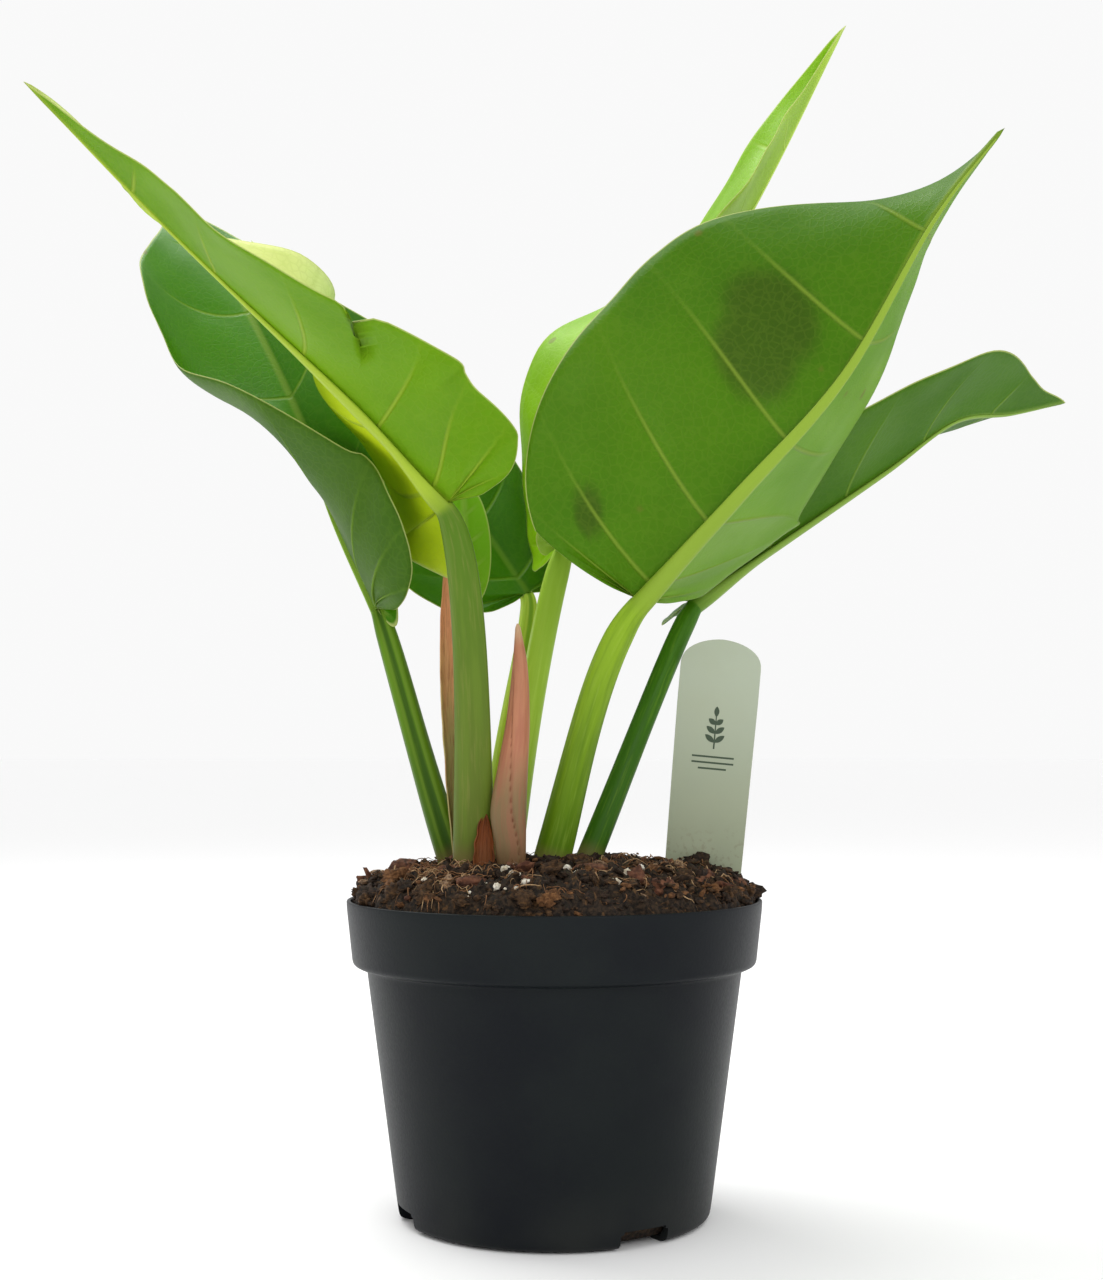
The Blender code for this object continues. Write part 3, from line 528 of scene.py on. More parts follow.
BARK_HALVES = ((0.0070, 0.0032, 0.0022), (0.0055, 0.0036, 0.0024), (0.0065, 0.0055, 0.0042), (0.0085, 0.0055, 0.0022),
               (0.0062, 0.0050, 0.0026), (0.0050, 0.0040, 0.0022), (0.0050, 0.0035, 0.0028), (0.0070, 0.0045, 0.0026))
for number, (turn, half) in enumerate(zip(BARK_TURNS, BARK_HALVES), 1):
    low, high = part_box(f"bark_chip_{number}")
    flake = []
    for p in big_ball:
        # a squarer plan than a ball, with a split and flaky surface
        q = np.sign(p) * np.abs(p)**(0.72, 0.72, 0.85)
        layer = 0.16 * noise.noise(Vector((q[0] * 2.2 + 9 * number, q[1] * 2.2, q[2] * 1.5)))
        layer += 0.10 * noise.noise(Vector((q[0] * 1.5 + 5 * number, q[1] * 9, q[2] * 6)))
        flake.append(q * (0.93 + layer) * half)
    spin = np.array(Matrix.Rotation(math.radians(turn), 3, "Z") @ Matrix.Rotation(math.radians(6), 3, "X"))
    points = np.array(flake) @ spin.T + np.array((low + high) / 2)
    chip = put(f"bark_piece_{number}", gathered([(points, big_faces, 0)]), [bark_paint])
    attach(chip, "root")
    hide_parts(f"bark_chip_{number}")

flakes = []
for k in range(90):
    x, y = strewn(0.95)
    long = 0.0016 + 0.0030 * chance.random()**1.5
    half = long * np.array((1, 0.45 + 0.4 * chance.random(), 0.18 + 0.2 * chance.random()))
    square = np.sign(mid_ball) * np.abs(mid_ball)**(0.6, 0.7, 0.9)
    flakes.append((tumbled(square, half, 0.5, (x, y, crumbled(x, y) + half[2] * 0.6)), mid_faces,
                   chance.choice((0, 0, 1))))
pale_bark, tree, shader = finish_named("bark_grey", 0.9)
marks = placed(tree, mottle, Patch_Scale=150, Grain_Scale=1100)
grey = tint(tree, band(tree, marks["Grain"], 0.35, 0.65), colour(92, 72, 56), colour(150, 122, 96))
finish_linked(tree, shader, grey, skin=bump(tree, marks["Grain"], 0.6, 0.0010))
litter = put("bark_flakes", gathered(flakes), [bark_paint, pale_bark])
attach(litter, "root")

# ---------------------------------------------------------------- perlite
# White grains of expanded mineral, rough and full of pinholes, some of them stained by the mix.

perlite_paint, tree, shader = finish_named("perlite_white", 0.9)
marks = placed(tree, mottle, Patch_Scale=300, Grain_Scale=1600)
chalk = tint(tree, marks["Patches"], colour(228, 222, 208), colour(196, 182, 158))
# the pinholes are painted darker, as the shade inside them
finish_linked(tree, shader, tint(tree, band(tree, marks["Pits"], 0.25, 0.05), chalk, colour(150, 132, 108)),
              band(tree, marks["Grain"], 0.3, 0.7, 0.8, 0.97), bump(tree, marks["Pits"], 0.6, 0.0006))
for number in range(1, 11):
    low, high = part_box(f"perlite_{number}")
    rough = np.array([noise.noise(Vector(p) * 4.1 + Vector((number * 3, 0, 0))) for p in mid_ball])
    craggy = mid_ball * (1 + 0.28 * rough[:, None])
    points = tumbled(craggy, np.array((high - low) / 2), 0.5, np.array((low + high) / 2))
    grain_piece = put(f"perlite_grain_{number}", gathered([(points, mid_faces, 0)]), [perlite_paint])
    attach(grain_piece, "root")
    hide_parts(f"perlite_{number}")
dots = []
for k in range(90):
    x, y = strewn(0.95)
    size = 0.0003 + 0.0007 * chance.random()**1.5
    half = np.array((size, size * 0.9, size * 0.8))
    dots.append((tumbled(small_ball, half, 0.4, (x, y, crumbled(x, y) + size * 0.5)), small_faces, 0))
dust_grains = put("perlite_dots", gathered(dots), [perlite_paint])
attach(dust_grains, "root")

# ---------------------------------------------------------------- plant label
# A flexible stake of milky plastic with a rounded head, pushed into the mix behind the plant.
# It carries a plain printed sprig and three short rules.

LABEL_LEAN = math.radians(5.4)
LABEL_FOOT = Vector((0.058, 0.021, SOIL_EDGE + 0.0145))
LABEL_BURIED = 0.047
LABEL_LENGTH = 0.135


def on_label(x, up, out=0.0):
    """Point of the label: x across, up from its foot, out in front of its face."""
    rise = up - LABEL_BURIED
    sway = 0.0012 * math.sin(max(rise, 0) * 26)
    return Vector((LABEL_FOOT.x + x * math.cos(LABEL_LEAN) + rise * math.sin(LABEL_LEAN),
                   LABEL_FOOT.y - out + sway * 0.4,
                   LABEL_FOOT.z + rise * math.cos(LABEL_LEAN) - x * math.sin(LABEL_LEAN)))


def label_half(up):
    """Half width of the label at this height."""
    half = 0.01425 + 0.0015 * min(up / 0.11, 1)
    half *= min(up / 0.026, 1)
    head = (up - (LABEL_LENGTH - 0.0105)) / 0.0105
    return half * (1 - max(head, 0)**2.3)**0.55 if head < 1 else 0.0


label_mesh = bmesh.new()
label_rows = []
for k in range(97):
    up = LABEL_LENGTH * (k / 96 if k < 80 else 80 / 96 + (1 - 80 / 96) * (1 - (1 - (k - 80) / 16)**2))
    half = max(label_half(up), 0.0004)
    label_rows.append([(half * j / 8, up) for j in range(-8, 9)])
sheets = []
for out_by in (0.0005, -0.0005):
    sheets.append([[label_mesh.verts.new(on_label(x, up, out_by)) for x, up in row] for row in label_rows])
for k in range(96):
    for j in range(16):
        label_mesh.faces.new([sheets[0][a][b] for a, b in ((k, j), (k, j + 1), (k + 1, j + 1), (k + 1, j))])
        label_mesh.faces.new([sheets[1][a][b] for a, b in ((k, j), (k + 1, j), (k + 1, j + 1), (k, j + 1))])
border = [(k, 0) for k in range(97)] + [(96, j) for j in range(1, 17)]
border += [(k, 16) for k in range(95, -1, -1)] + [(0, j) for j in range(15, 0, -1)]
for (a, b), (c, d) in zip(border, border[1:] + border[:1]):
    label_mesh.faces.new((sheets[0][a][b], sheets[1][a][b], sheets[1][c][d], sheets[0][c][d]))
bmesh.ops.recalc_face_normals(label_mesh, faces=label_mesh.faces[:])
label_paint, tree, shader = finish_named("label_plastic", 0.38)
marks = placed(tree, mottle, Patch_Scale=22, Grain_Scale=600)
height_up = node(tree, "ShaderNodeSeparateXYZ", {0: node(tree, "ShaderNodeTexCoord").outputs["Object"]}).outputs[2]
# the plastic is painted lighter towards the top of the label, as light falling on its upper part
milky = tint(tree, band(tree, height_up, 0.125, 0.215), colour(146, 153, 128), colour(176, 184, 166))
milky = tint(tree, maths(tree, "MULTIPLY", marks["Patches"], 0.35), milky, colour(168, 172, 146))
soiled = maths(tree, "MULTIPLY", band(tree, height_up, 0.146, 0.132), band(tree, marks["Grain"], 0.52, 0.70))
finish_linked(tree, shader, tint(tree, maths(tree, "MULTIPLY", soiled, 0.4), milky, colour(120, 108, 88)),
              band(tree, marks["Patches"], 0, 1, 0.34, 0.48), bump(tree, marks["Grain"], 0.06, 0.0003))
label = put("label_stake", label_mesh, [label_paint])
label.data.set_sharp_from_angle(angle=math.radians(40))
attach(label, "root")
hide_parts("plant_label")

ink_paint, tree, shader = finish_named("label_ink", 0.5)
marks = placed(tree, mottle, Patch_Scale=300, Grain_Scale=2500)
finish_linked(tree, shader, tint(tree, marks["Grain"], colour(52, 66, 52), colour(74, 88, 70)))


def printed(outline):
    """Flat printed shape on the label's face, a hair thick."""
    count = len(outline)
    points = np.array([on_label(x, up, out_by) for out_by in (0.00046, 0.00056) for x, up in outline])
    faces = [tuple(range(count, 2 * count)), tuple(range(count))[::-1]]
    faces += [(k, (k + 1) % count, count + (k + 1) % count, count + k) for k in range(count)]
    return points, faces, 0


def leaflet(x, up, way, long, wide):
    """Pointed oval that starts at x, up and grows along way."""
    shape = []
    for k in range(24):
        t = k / 12 if k <= 12 else 2 - k / 12
        side = wide / 2 * math.sin(math.pi * t) ** 0.8 * (1 if k <= 12 else -1) if 0 < t < 1 else 0
        shape.append((x + long * t * math.cos(way) - side * math.sin(way),
                      up + long * t * math.sin(way) + side * math.cos(way)))
    return shape


prints = [printed([(-0.0003, 0.092), (0.0003, 0.092), (0.0002, 0.1055), (-0.0002, 0.1055)])]
for up, reach in ((0.0945, 0.0048), (0.0980, 0.0044), (0.1015, 0.0036)):
    prints += [printed(leaflet(0, up, math.radians(way), reach, 0.0021)) for way in (38, 142)]
prints.append(printed(leaflet(0, 0.1045, math.radians(90), 0.0042, 0.0020)))
for up, half in ((0.0885, 0.0082), (0.0862, 0.0082), (0.0839, 0.0055)):
    prints.append(printed([(-half, up), (half, up), (half, up + 0.0007), (-half, up + 0.0007)]))
label_print = put("label_print", gathered(prints), [ink_paint], False)
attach(label_print, "root")

# ---------------------------------------------------------------- crowns and roots
# The two buried crowns and their fleshy roots, which are seen only if the mix is taken away.

for names, name, dark, light in (
        (("crown_left", "crown_right"), "crown_flesh", colour(108, 92, 56), colour(160, 140, 92)),
        (("root_left_1", "root_left_2", "root_left_3", "root_left_4", "root_right_1", "root_right_2"),
         "root_cream", colour(170, 148, 108), colour(216, 198, 158))):
    made, tree, shader = finish_named(name, 0.75)
    marks = placed(tree, mottle, Patch_Scale=90, Grain_Scale=900)
    finish_linked(tree, shader, tint(tree, marks["Patches"], dark, light), skin=bump(tree, marks["Grain"], 0.4, 0.0008))
    for kept in names:
        data = frame["nodes"][kept].data
        data.materials.clear()
        data.materials.append(made)

# ---------------------------------------------------------------- leaves
# Thin smooth heart-shaped blades. Side veins leave the midrib nearly square and turn towards the tip;
# the blade swells a little between them and its margin waves. Each stalk runs on as the midrib.

SURFACE = SOIL_EDGE + 0.0175
OUTLINE = ((0, 0), (-0.035, 0.07), (-0.03, 0.17), (0.04, 0.27), (0.15, 0.335), (0.29, 0.36),
           (0.45, 0.345), (0.61, 0.275), (0.75, 0.15), (0.87, 0.05), (1, 0))
MIDRIB_SLANT = 0.3
BLADE_ROWS, BLADE_COLUMNS = 108, 22         # columns are for each half
VEIN_ROWS = (9, 19, 30, 42, 54, 66, 78, 90)
# Each leaf: foot of its stalk in plan, start of the blade from there, the way the stalk rises and its
# two handles, radii at foot and top, how broad the foot is, blade length, midrib course as shares of
# that, the way the upper side looks, lobes, bluntness, and for the left and right half the width,
# fold and curl from start to tip. Then how its margin waves: height in millimetres, count and phase.
LEAVES = {
    "front_left": dict(
        foot=(-0.030, -0.008), base=(-0.008, -0.037, 0.130), rise=(0, -0.12, 1), reach=(0.35, 0.12),
        radii=(0.0060, 0.0046), broad=1.3, length=0.199,
        course=((0, 0, 0), (-0.115, -0.022, 0.118), (-0.255, -0.110, 0.249), (-0.490, -0.178, 0.468),
                (-0.689, -0.295, 0.663)),
        facing=(-0.03, -0.07, 1), lobe=(1, 3.2), blunt=0,
        width=((1.10, 1.02), (0.89, 0.96), (0.68, 0.93), (0.85, 0.88), (0.95, 0.90)),
        fold=((39, -38), (10, 9), (0, 4), (-2, 1), (3, 70)),
        curl=((28, 8), (18, 31), (14, 65), (7, 31), (7, 30)), wave=(0.8, 4.2, 0.6), tear=(0.5463, 0.24, 0.0065)),
    "left": dict(
        foot=(-0.039, 0.009), base=(-0.0290, -0.0050, 0.0958), rise=(-0.35, 0, 1), reach=(0.35, 0.12),
        radii=(0.0055, 0.0036), broad=1.05, length=0.266,
        course=((0, 0, 0), (-0.065, 0.044, 0.137), (-0.124, 0.074, 0.290), (-0.227, 0.202, 0.487),
                (-0.316, 0.333, 0.633), (-0.432, 0.467, 0.758)),
        facing=(-0.14, -0.91, 0.38), lobe=(1, 1), blunt=0.2,
        width=((0.96, 0.08), (0.79, 0.15), (0.52, 0.28), (0.65, 0.30), (0.77, 0.30)),
        fold=((86, 12), (65, 5), (-11, 5), (-2, 0), (21, -20), (21, -20)),
        curl=((62, 10), (83, 10), (105, 10), (90, 10), (33, 10), (16, 10)), wave=(1.2, 5.3, 2.1)),
    "young": dict(
        foot=(-0.033, 0.021), base=(-0.001, 0.001, 0.101), rise=(0, 0, 1), reach=(0.35, 0.12),
        radii=(0.0034, 0.0022), broad=1, length=0.059,
        course=((0, 0, 0), (-0.017, 0.017, 0.407), (-0.051, 0.034, 1)),
        facing=(0.1, -0.95, 0.2), lobe=(1, 1), blunt=0,
        width=((0.52, 0.52), (0.52, 0.52)), fold=((20, 20), (20, 20)), curl=((30, 30), (20, 20), (20, 20)),
        wave=(0.3, 3.0, 1.0)),
    "back": dict(
        foot=(-0.023, 0.027), base=(0.012, 0.0365, 0.107), rise=(-0.05, 0.05, 1), reach=(0.35, 0.1),
        radii=(0.0045, 0.0036), broad=1, length=0.219,
        course=((0, 0, 0), (-0.169, 0.091, 0.251), (-0.361, 0.192, 0.511), (-0.580, 0.288, 0.763)),
        facing=(0.35, -0.8, 0.45), lobe=(0.3, 0.3), blunt=0,
        width=((0.7, 0.4), (0.7, 0.45)), fold=((-5, 0), (-5, -5), (0, -5)), curl=((10, 10), (10, 10)),
        wave=(1.0, 4.6, 3.3)),
    "tall": dict(
        foot=(-0.018, 0.008), base=(0.020, 0.014, 0.122), rise=(0.12, 0.05, 1), reach=(0.35, 0.1),
        radii=(0.0058, 0.0048), broad=1, length=0.253,
        course=((0, 0, 0), (0.147, 0.041, 0.271), (0.326, 0.082, 0.585), (0.471, 0.113, 0.875)),
        facing=(-0.88, -0.09, 0.46), lobe=(1, 1), blunt=0,
        width=((0.35, 0.60), (0.82, 0.60), (0.99, 0.60), (0.96, 0.63)),
        fold=((6, 15), (29, 12), (11, 12), (58, 30)), curl=((6, 11), (8, 7), (4, 1), (14, 5)),
        wave=(1.2, 4.8, 0.2)),
    "front_right": dict(
        foot=(-0.001, -0.004), base=(0.032, -0.026, 0.096), rise=(0.27, -0.05, 1), reach=(0.35, 0.24),
        radii=(0.0068, 0.0048), broad=1, length=0.222,
        course=((0, 0, 0), (0.156, -0.105, 0.164), (0.320, -0.125, 0.349), (0.459, -0.153, 0.590),
                (0.592, -0.071, 0.766)),
        facing=(-0.26, 0.80, 0.55), lobe=(0.3, 0.3), blunt=0.8,
        width=((0.95, 0.96), (1.09, 0.97), (0.94, 0.98), (0.80, 1.09), (0.78, 1.08)),
        fold=((36, 9), (34, 42), (41, 47), (29, 110)), curl=((6, -3), (11, 13), (16, 22), (10, 58)),
        # dark green patches painted on the blade as the shade of a fold in it
        painted_shade_patches=((0.68, 0.42, 0.055, 0.30), (0.64, 0.36, 0.05, 0.26), (0.38, 0.5, 0.035, 0.12)),
        wave=(0.6, 4.1, 1.4)),
    "right": dict(
        foot=(0.0125, 0.006), base=(0.0425, 0.0285, 0.101), rise=(0.42, 0.07, 1), reach=(0.35, 0.06),
        radii=(0.0052, 0.0043), broad=1, length=0.232,
        course=((0, 0, 0), (0.190, 0.043, 0.129), (0.353, 0.086, 0.241), (0.491, 0.151, 0.341),
                (0.621, 0.259, 0.375), (0.759, 0.388, 0.422)),
        facing=(-0.56, 0.19, 0.80), lobe=(1, 1), blunt=1.5,
        width=((0.80, 0.55), (0.80, 0.55), (0.74, 0.50), (0.78, 0.45), (0.85, 0.55)),
        fold=((8, 18), (8, 18), (18, 12), (35, 20)), curl=((5, 5), (5, 5)), wave=(1.3, 4.4, 2.8)),
}
# Greens of each leaf: under and upper side of its left half, of its right half, and its veins,
# then the stalk's foot and top, the stripe down its groove and the edges of that.
GREENS = {
    # front_left: the pale upper side of its right half is a painted highlight of glare, and the under side of its right
    # half is painted lighter to make up for the shade it lies in
    "front_left": ((116, 164, 18), (146, 188, 36), (192, 214, 34), (240, 250, 176), (158, 182, 52),
                   (96, 112, 40), (80, 114, 24), (104, 130, 40), (138, 136, 74)),
    "left": ((70, 110, 22), (72, 138, 2), (84, 138, 18), (64, 128, 2), (128, 164, 52),
             (80, 114, 16), (92, 130, 22), (44, 80, 6), (100, 132, 34)),
    "young": ((128, 188, 40), (144, 208, 56), (128, 188, 40), (144, 208, 56), (166, 206, 84),
              (130, 140, 50), (150, 132, 64), (120, 120, 50), (170, 130, 84)),
    "back": ((66, 118, 6), (64, 126, 2), (66, 118, 6), (58, 116, 2), (112, 154, 40),
             (146, 174, 44), (166, 194, 54), (112, 154, 28), (176, 198, 70)),
    "tall": ((180, 214, 84), (146, 200, 14), (180, 214, 84), (146, 200, 14), (196, 222, 108),
             (138, 174, 44), (156, 192, 62), (170, 202, 74), (176, 206, 84)),
    # front_right: its right half is painted darker than its left, as shade on the side away from the light
    "front_right": ((116, 166, 36), (106, 160, 24), (78, 128, 4), (84, 138, 8), (132, 160, 50),
                    (90, 126, 12), (132, 166, 36), (66, 102, 12), (152, 180, 70)),
    "right": ((64, 110, 14), (70, 124, 12), (70, 116, 18), (80, 134, 20), (118, 150, 54),
              (50, 94, 4), (58, 106, 8), (34, 74, 4), (112, 146, 40)),
}


def smooth(keys, t):
    """Catmull-Rom curve through equally spaced keys, read at shares t from 0 to 1."""
    keys = np.asarray(keys, float)
    spans = len(keys) - 1
    t = np.clip(np.atleast_1d(t), 0, 1) * spans
    first = np.minimum(t.astype(int), spans - 1)
    u = (t - first)[:, None]
    ends = np.vstack([2 * keys[0] - keys[1], keys, 2 * keys[-1] - keys[-2]])
    a, b, c, d = ends[first], ends[first + 1], ends[first + 2], ends[first + 3]
    return 0.5 * (2 * b + (c - a) * u + (2 * a - 5 * b + 4 * c - d) * u**2 + (3 * b - a - 3 * c + d) * u**3)


def unit(v):
    v = np.asarray(v, float)
    return v / np.linalg.norm(v, axis=-1, keepdims=True)


class Spine:
    """A midrib as a fine polyline read by share of its length. It runs on straight before its start."""

    def __init__(self, points):
        self.points = smooth(points, np.linspace(0, 1, 161))
        steps = np.linalg.norm(np.diff(self.points, axis=0), axis=1)
        self.length = steps.sum()
        self.at = np.concatenate([[0], np.cumsum(steps)]) / self.length
        self.ways = unit(np.gradient(self.points, axis=0))

    def point(self, share):
        inside = np.stack([np.interp(share, self.at, self.points[:, k]) for k in range(3)], -1)
        return inside + np.minimum(share, 0)[..., None] * self.ways[0] * self.length

    def frame(self, share, facing):
        """Forward, right and upward ways of the blade at these shares of its length."""
        forward = unit(np.stack([np.interp(share, self.at, self.ways[:, k]) for k in range(3)], -1))
        right = unit(np.cross(forward, unit(facing)))
        return forward, right, np.cross(right, forward)


def ease(value, low, high):
    t = np.clip((value - low) / (high - low), 0, 1)
    return t * t * (3 - 2 * t)


def blade_sheet(leaf, spine):
    """Middle of the blade as a grid of points with its upward ways and its marks, some of them how far
    a point is from the midrib, from the nearest side vein and from the margin in millimetres."""
    rows = np.linspace(0, 1, BLADE_ROWS + 1)
    outline = smooth(OUTLINE, rows)
    half = np.maximum(outline[:, 1], 0.02 * (1 - rows)) * (1 + leaf["blunt"] * rows**4)
    half[[0, -1]] = 0
    widths = smooth(leaf["width"], rows)
    out = np.linspace(0, 1, BLADE_COLUMNS + 1)[None, :]**1.15
    halves, reaches, flats = [], [], []
    for number, side in enumerate((-1, 1)):
        ahead = np.where(outline[:, 0] < 0, outline[:, 0] * leaf["lobe"][number], outline[:, 0])
        start = np.clip(ahead - MIDRIB_SLANT * half, 0, 1)
        start[-1] = 1
        share = start[:, None] + (ahead - start)[:, None] * out**1.3
        forward, right, up = spine.frame(share, leaf["facing"])
        reach = (half * widths[:, number])[:, None] * spine.length
        if side < 0 and "tear" in leaf:
            at_row, deep, long = leaf["tear"]
            reach = reach * (1 - deep * np.exp(-((rows - at_row) / long)**2))[:, None]
        keys = np.clip(share, 0, 1).ravel()
        fold = np.radians(smooth([[f[number]] for f in leaf["fold"]], keys)).reshape(share.shape)
        curl = np.radians(smooth([[c[number]] for c in leaf["curl"]], keys)).reshape(share.shape)
        curl = np.where(np.abs(curl) < 0.001, 0.001, curl)
        sideways = reach * np.sin(curl * out) / curl
        upwards = reach * (1 - np.cos(curl * out)) / curl
        cos, sin = np.cos(fold)[..., None], np.sin(fold)[..., None]
        halves.append(spine.point(share) + (side * right * cos + up * sin) * sideways[..., None]
                      + (up * cos - side * right * sin) * upwards[..., None])
        flats.append(up)
        reaches.append(reach * np.ones_like(out))
    grid = np.concatenate([halves[0][:, ::-1], halves[1][:, 1:]], axis=1)
    out = np.concatenate([out[:, ::-1], out[:, 1:]], axis=1)
    reach = np.concatenate([reaches[0][:, ::-1], reaches[1][:, 1:]], axis=1)
    normal = np.cross(np.gradient(grid, axis=1), np.gradient(grid, axis=0))
    # where rows meet in one point, the way up is the midrib's
    flat = np.concatenate([flats[0][:, ::-1], flats[1][:, 1:]], axis=1)
    meets = np.linalg.norm(normal, axis=-1) < 1e-13
    meets[0] = meets[-1] = True
    normal = unit(np.where(meets[..., None], flat, normal))
    # swelling between the side veins, and the wave of the margin
    row = np.arange(BLADE_ROWS + 1)
    stops = np.array((-2, *VEIN_ROWS, BLADE_ROWS))
    low = stops[np.searchsorted(stops, row, "right").clip(1, len(stops) - 1) - 1]
    high = stops[np.searchsorted(stops, row, "right").clip(1, len(stops) - 1)]
    between = np.sin(np.pi * np.clip((row - low) / (high - low), 0, 1))**0.7
    room = ease(reach * out, 0, 0.012) * ease(reach * (1 - out), 0, 0.016)
    height, count, phase = leaf["wave"]
    sides = np.concatenate([-np.ones(BLADE_COLUMNS), np.ones(BLADE_COLUMNS + 1)])[None, :]
    wave = np.sin(2 * np.pi * count * rows[:, None] + phase + 1.7 * sides) + 0.5 * np.sin(
        2 * np.pi * 2.3 * count * rows[:, None] + 2 * phase)
    lift = 0.0014 * between[:, None] * room + height / 1500 * wave * out**3 * ease(reach, 0.004, 0.03)
    lift -= 0.0006 * (1 - ease(reach * out, 0, 0.0035))
    grid = grid + normal * lift[..., None]
    along = np.linalg.norm(np.gradient(grid, axis=0), axis=-1)
    vein = np.abs(row[:, None] - np.array(VEIN_ROWS)[None, :]).min(axis=1)[:, None] * along
    # patches of painted shade where the blade folds, put into its colour
    painted_shade = np.zeros_like(reach)
    for at_row, at_side, long, wide in leaf.get("painted_shade_patches", ()):
        spot = ((rows[:, None] - at_row) / long)**2 + ((out * sides - at_side) / wide)**2
        painted_shade = np.maximum(painted_shade, 1 - ease(spot, 0.35, 1.0))
    return grid, normal, {
        "rib_mm": reach * out * 1000, "vein_mm": vein * 1000, "edge_mm": reach * (1 - out) * 1000,
        "right_half": (sides + 1) / 2 * np.ones_like(reach), "across": out * np.ones_like(reach),
        "painted_shade": painted_shade}


def shell(grid, normal, thickness):
    """Closed body from a grid of points: points, faces, material number of each (0 over, 1 under,
    0 at the edge), and for each point its place in the grid. Grid points that meet become one."""
    rows, columns = grid.shape[:2]
    half = normal * thickness[..., None] / 2
    points = np.concatenate([(grid + half).reshape(-1, 3), (grid - half).reshape(-1, 3)])
    first, same = np.unique(np.round(grid.reshape(-1, 3), 7), axis=0, return_index=True, return_inverse=True)[1:]
    index = first[same.ravel()].reshape(rows, columns)
    over, under = index, index + rows * columns
    faces, numbers = [], []

    def face(*corners, number=0):
        kept = [c for k, c in enumerate(corners) if c != corners[k - 1]]
        if len(set(kept)) > 2:
            faces.append(tuple(int(c) for c in kept))
            numbers.append(number)

    for i in range(rows - 1):
        for j in range(columns - 1):
            face(over[i, j], over[i, j + 1], over[i + 1, j + 1], over[i + 1, j])
            face(under[i, j], under[i + 1, j], under[i + 1, j + 1], under[i, j + 1], number=1)
        face(over[i, 0], over[i + 1, 0], under[i + 1, 0], under[i, 0])
        face(over[i + 1, -1], over[i, -1], under[i, -1], under[i + 1, -1])
    for j in range(columns - 1):
        face(over[0, j + 1], over[0, j], under[0, j], under[0, j + 1])
        face(over[-1, j], over[-1, j + 1], under[-1, j + 1], under[-1, j])
    used = np.unique(np.concatenate([np.array(f) for f in faces]))
    renumber = np.zeros(len(points), int)
    renumber[used] = np.arange(len(used))
    return points[used], [tuple(int(renumber[c]) for c in f) for f in faces], numbers, used % (rows * columns)


def marked(points, faces, numbers, marks):
    """Mesh with these marks, each a value or a vector for every point."""
    data = bpy.data.meshes.new("marked")
    data.from_pydata(points.tolist(), [], faces)
    data.polygons.foreach_set("material_index", numbers)
    for name, values in marks.items():
        values = np.asarray(values, np.float32)
        layer = data.attributes.new(name, "FLOAT_VECTOR" if values.ndim == 2 else "FLOAT", "POINT")
        layer.data.foreach_set("vector" if values.ndim == 2 else "value", values.ravel())
    data.update()
    return data


# Veins, their fine net, the pale rim, partly the margin's own paler edge and partly a painted highlight, and the soft
# cloudiness of a blade, from its marks.
leaf_marks, given, out = group_named(
    "leaf_marks", (("Seed", "NodeSocketFloat", 0),),
    (("Veins", "NodeSocketFloat"), ("Net", "NodeSocketFloat"), ("Rim", "NodeSocketFloat"), ("Cloud", "NodeSocketFloat"),
     ("Right Half", "NodeSocketFloat"), ("Relief", "NodeSocketFloat"), ("Specks", "NodeSocketFloat"),
     ("Painted Shade", "NodeSocketFloat"), ("Sunny", "NodeSocketFloat")))


def mark(tree, name, kind="Fac"):
    return node(tree, "ShaderNodeAttribute", attribute_name=name).outputs[kind]


spot = node(leaf_marks, "ShaderNodeTexCoord").outputs["Object"]
spot = node(leaf_marks, "ShaderNodeVectorMath", {0: spot, 1: given["Seed"]}, operation="ADD").outputs[0]
rib_mm, vein_mm, edge_mm = (mark(leaf_marks, name) for name in ("rib_mm", "vein_mm", "edge_mm"))
fading = band(leaf_marks, mark(leaf_marks, "across"), 0.35, 0.85, 1.0, 0.12)
side_vein = maths(leaf_marks, "MULTIPLY", band(leaf_marks, vein_mm, 0.20, 1.35, 1.0, 0.0), fading)
midrib = band(leaf_marks, rib_mm, 0.5, 2.2, 1.0, 0.0)
net = node(leaf_marks, "ShaderNodeTexVoronoi", {"Vector": spot, "Scale": 330.0, "Randomness": 1.0},
           feature="DISTANCE_TO_EDGE").outputs["Distance"]
net = band(leaf_marks, net, 0.0, 0.16, 1.0, 0.0)
cloud = node(leaf_marks, "ShaderNodeTexNoise", {"Vector": spot, "Scale": 24.0, "Detail": 4.0}).outputs[0]
# sunny: brighter yellowish patches, painted light shining through the blade
sunny = node(leaf_marks, "ShaderNodeTexNoise",
             {"Vector": spot, "Scale": 11.0, "Detail": 2.0, "Distortion": 0.6}).outputs[0]
fine = node(leaf_marks, "ShaderNodeTexNoise", {"Vector": spot, "Scale": 900.0, "Detail": 2.0}).outputs[0]
specks = node(leaf_marks, "ShaderNodeTexVoronoi", {"Vector": spot, "Scale": 34.0}).outputs["Distance"]
leaf_marks.links.new(maths(leaf_marks, "MAXIMUM", side_vein, midrib), out["Veins"])
leaf_marks.links.new(net, out["Net"])
# the pale line along the margin is partly the leaf's own paler edge and partly a painted highlight
leaf_marks.links.new(band(leaf_marks, edge_mm, 0.15, 0.65, 1.0, 0.0), out["Rim"])
leaf_marks.links.new(band(leaf_marks, cloud, 0.3, 0.7), out["Cloud"])
leaf_marks.links.new(mark(leaf_marks, "right_half"), out["Right Half"])
leaf_marks.links.new(mark(leaf_marks, "painted_shade"), out["Painted Shade"])
leaf_marks.links.new(band(leaf_marks, sunny, 0.42, 0.66), out["Sunny"])
relief = maths(leaf_marks, "ADD", side_vein, maths(leaf_marks, "MULTIPLY", net, 0.10))
leaf_marks.links.new(maths(leaf_marks, "ADD", relief, maths(leaf_marks, "MULTIPLY", fine, 0.03)), out["Relief"])
leaf_marks.links.new(band(leaf_marks, specks, 0.10, 0.06), out["Specks"])


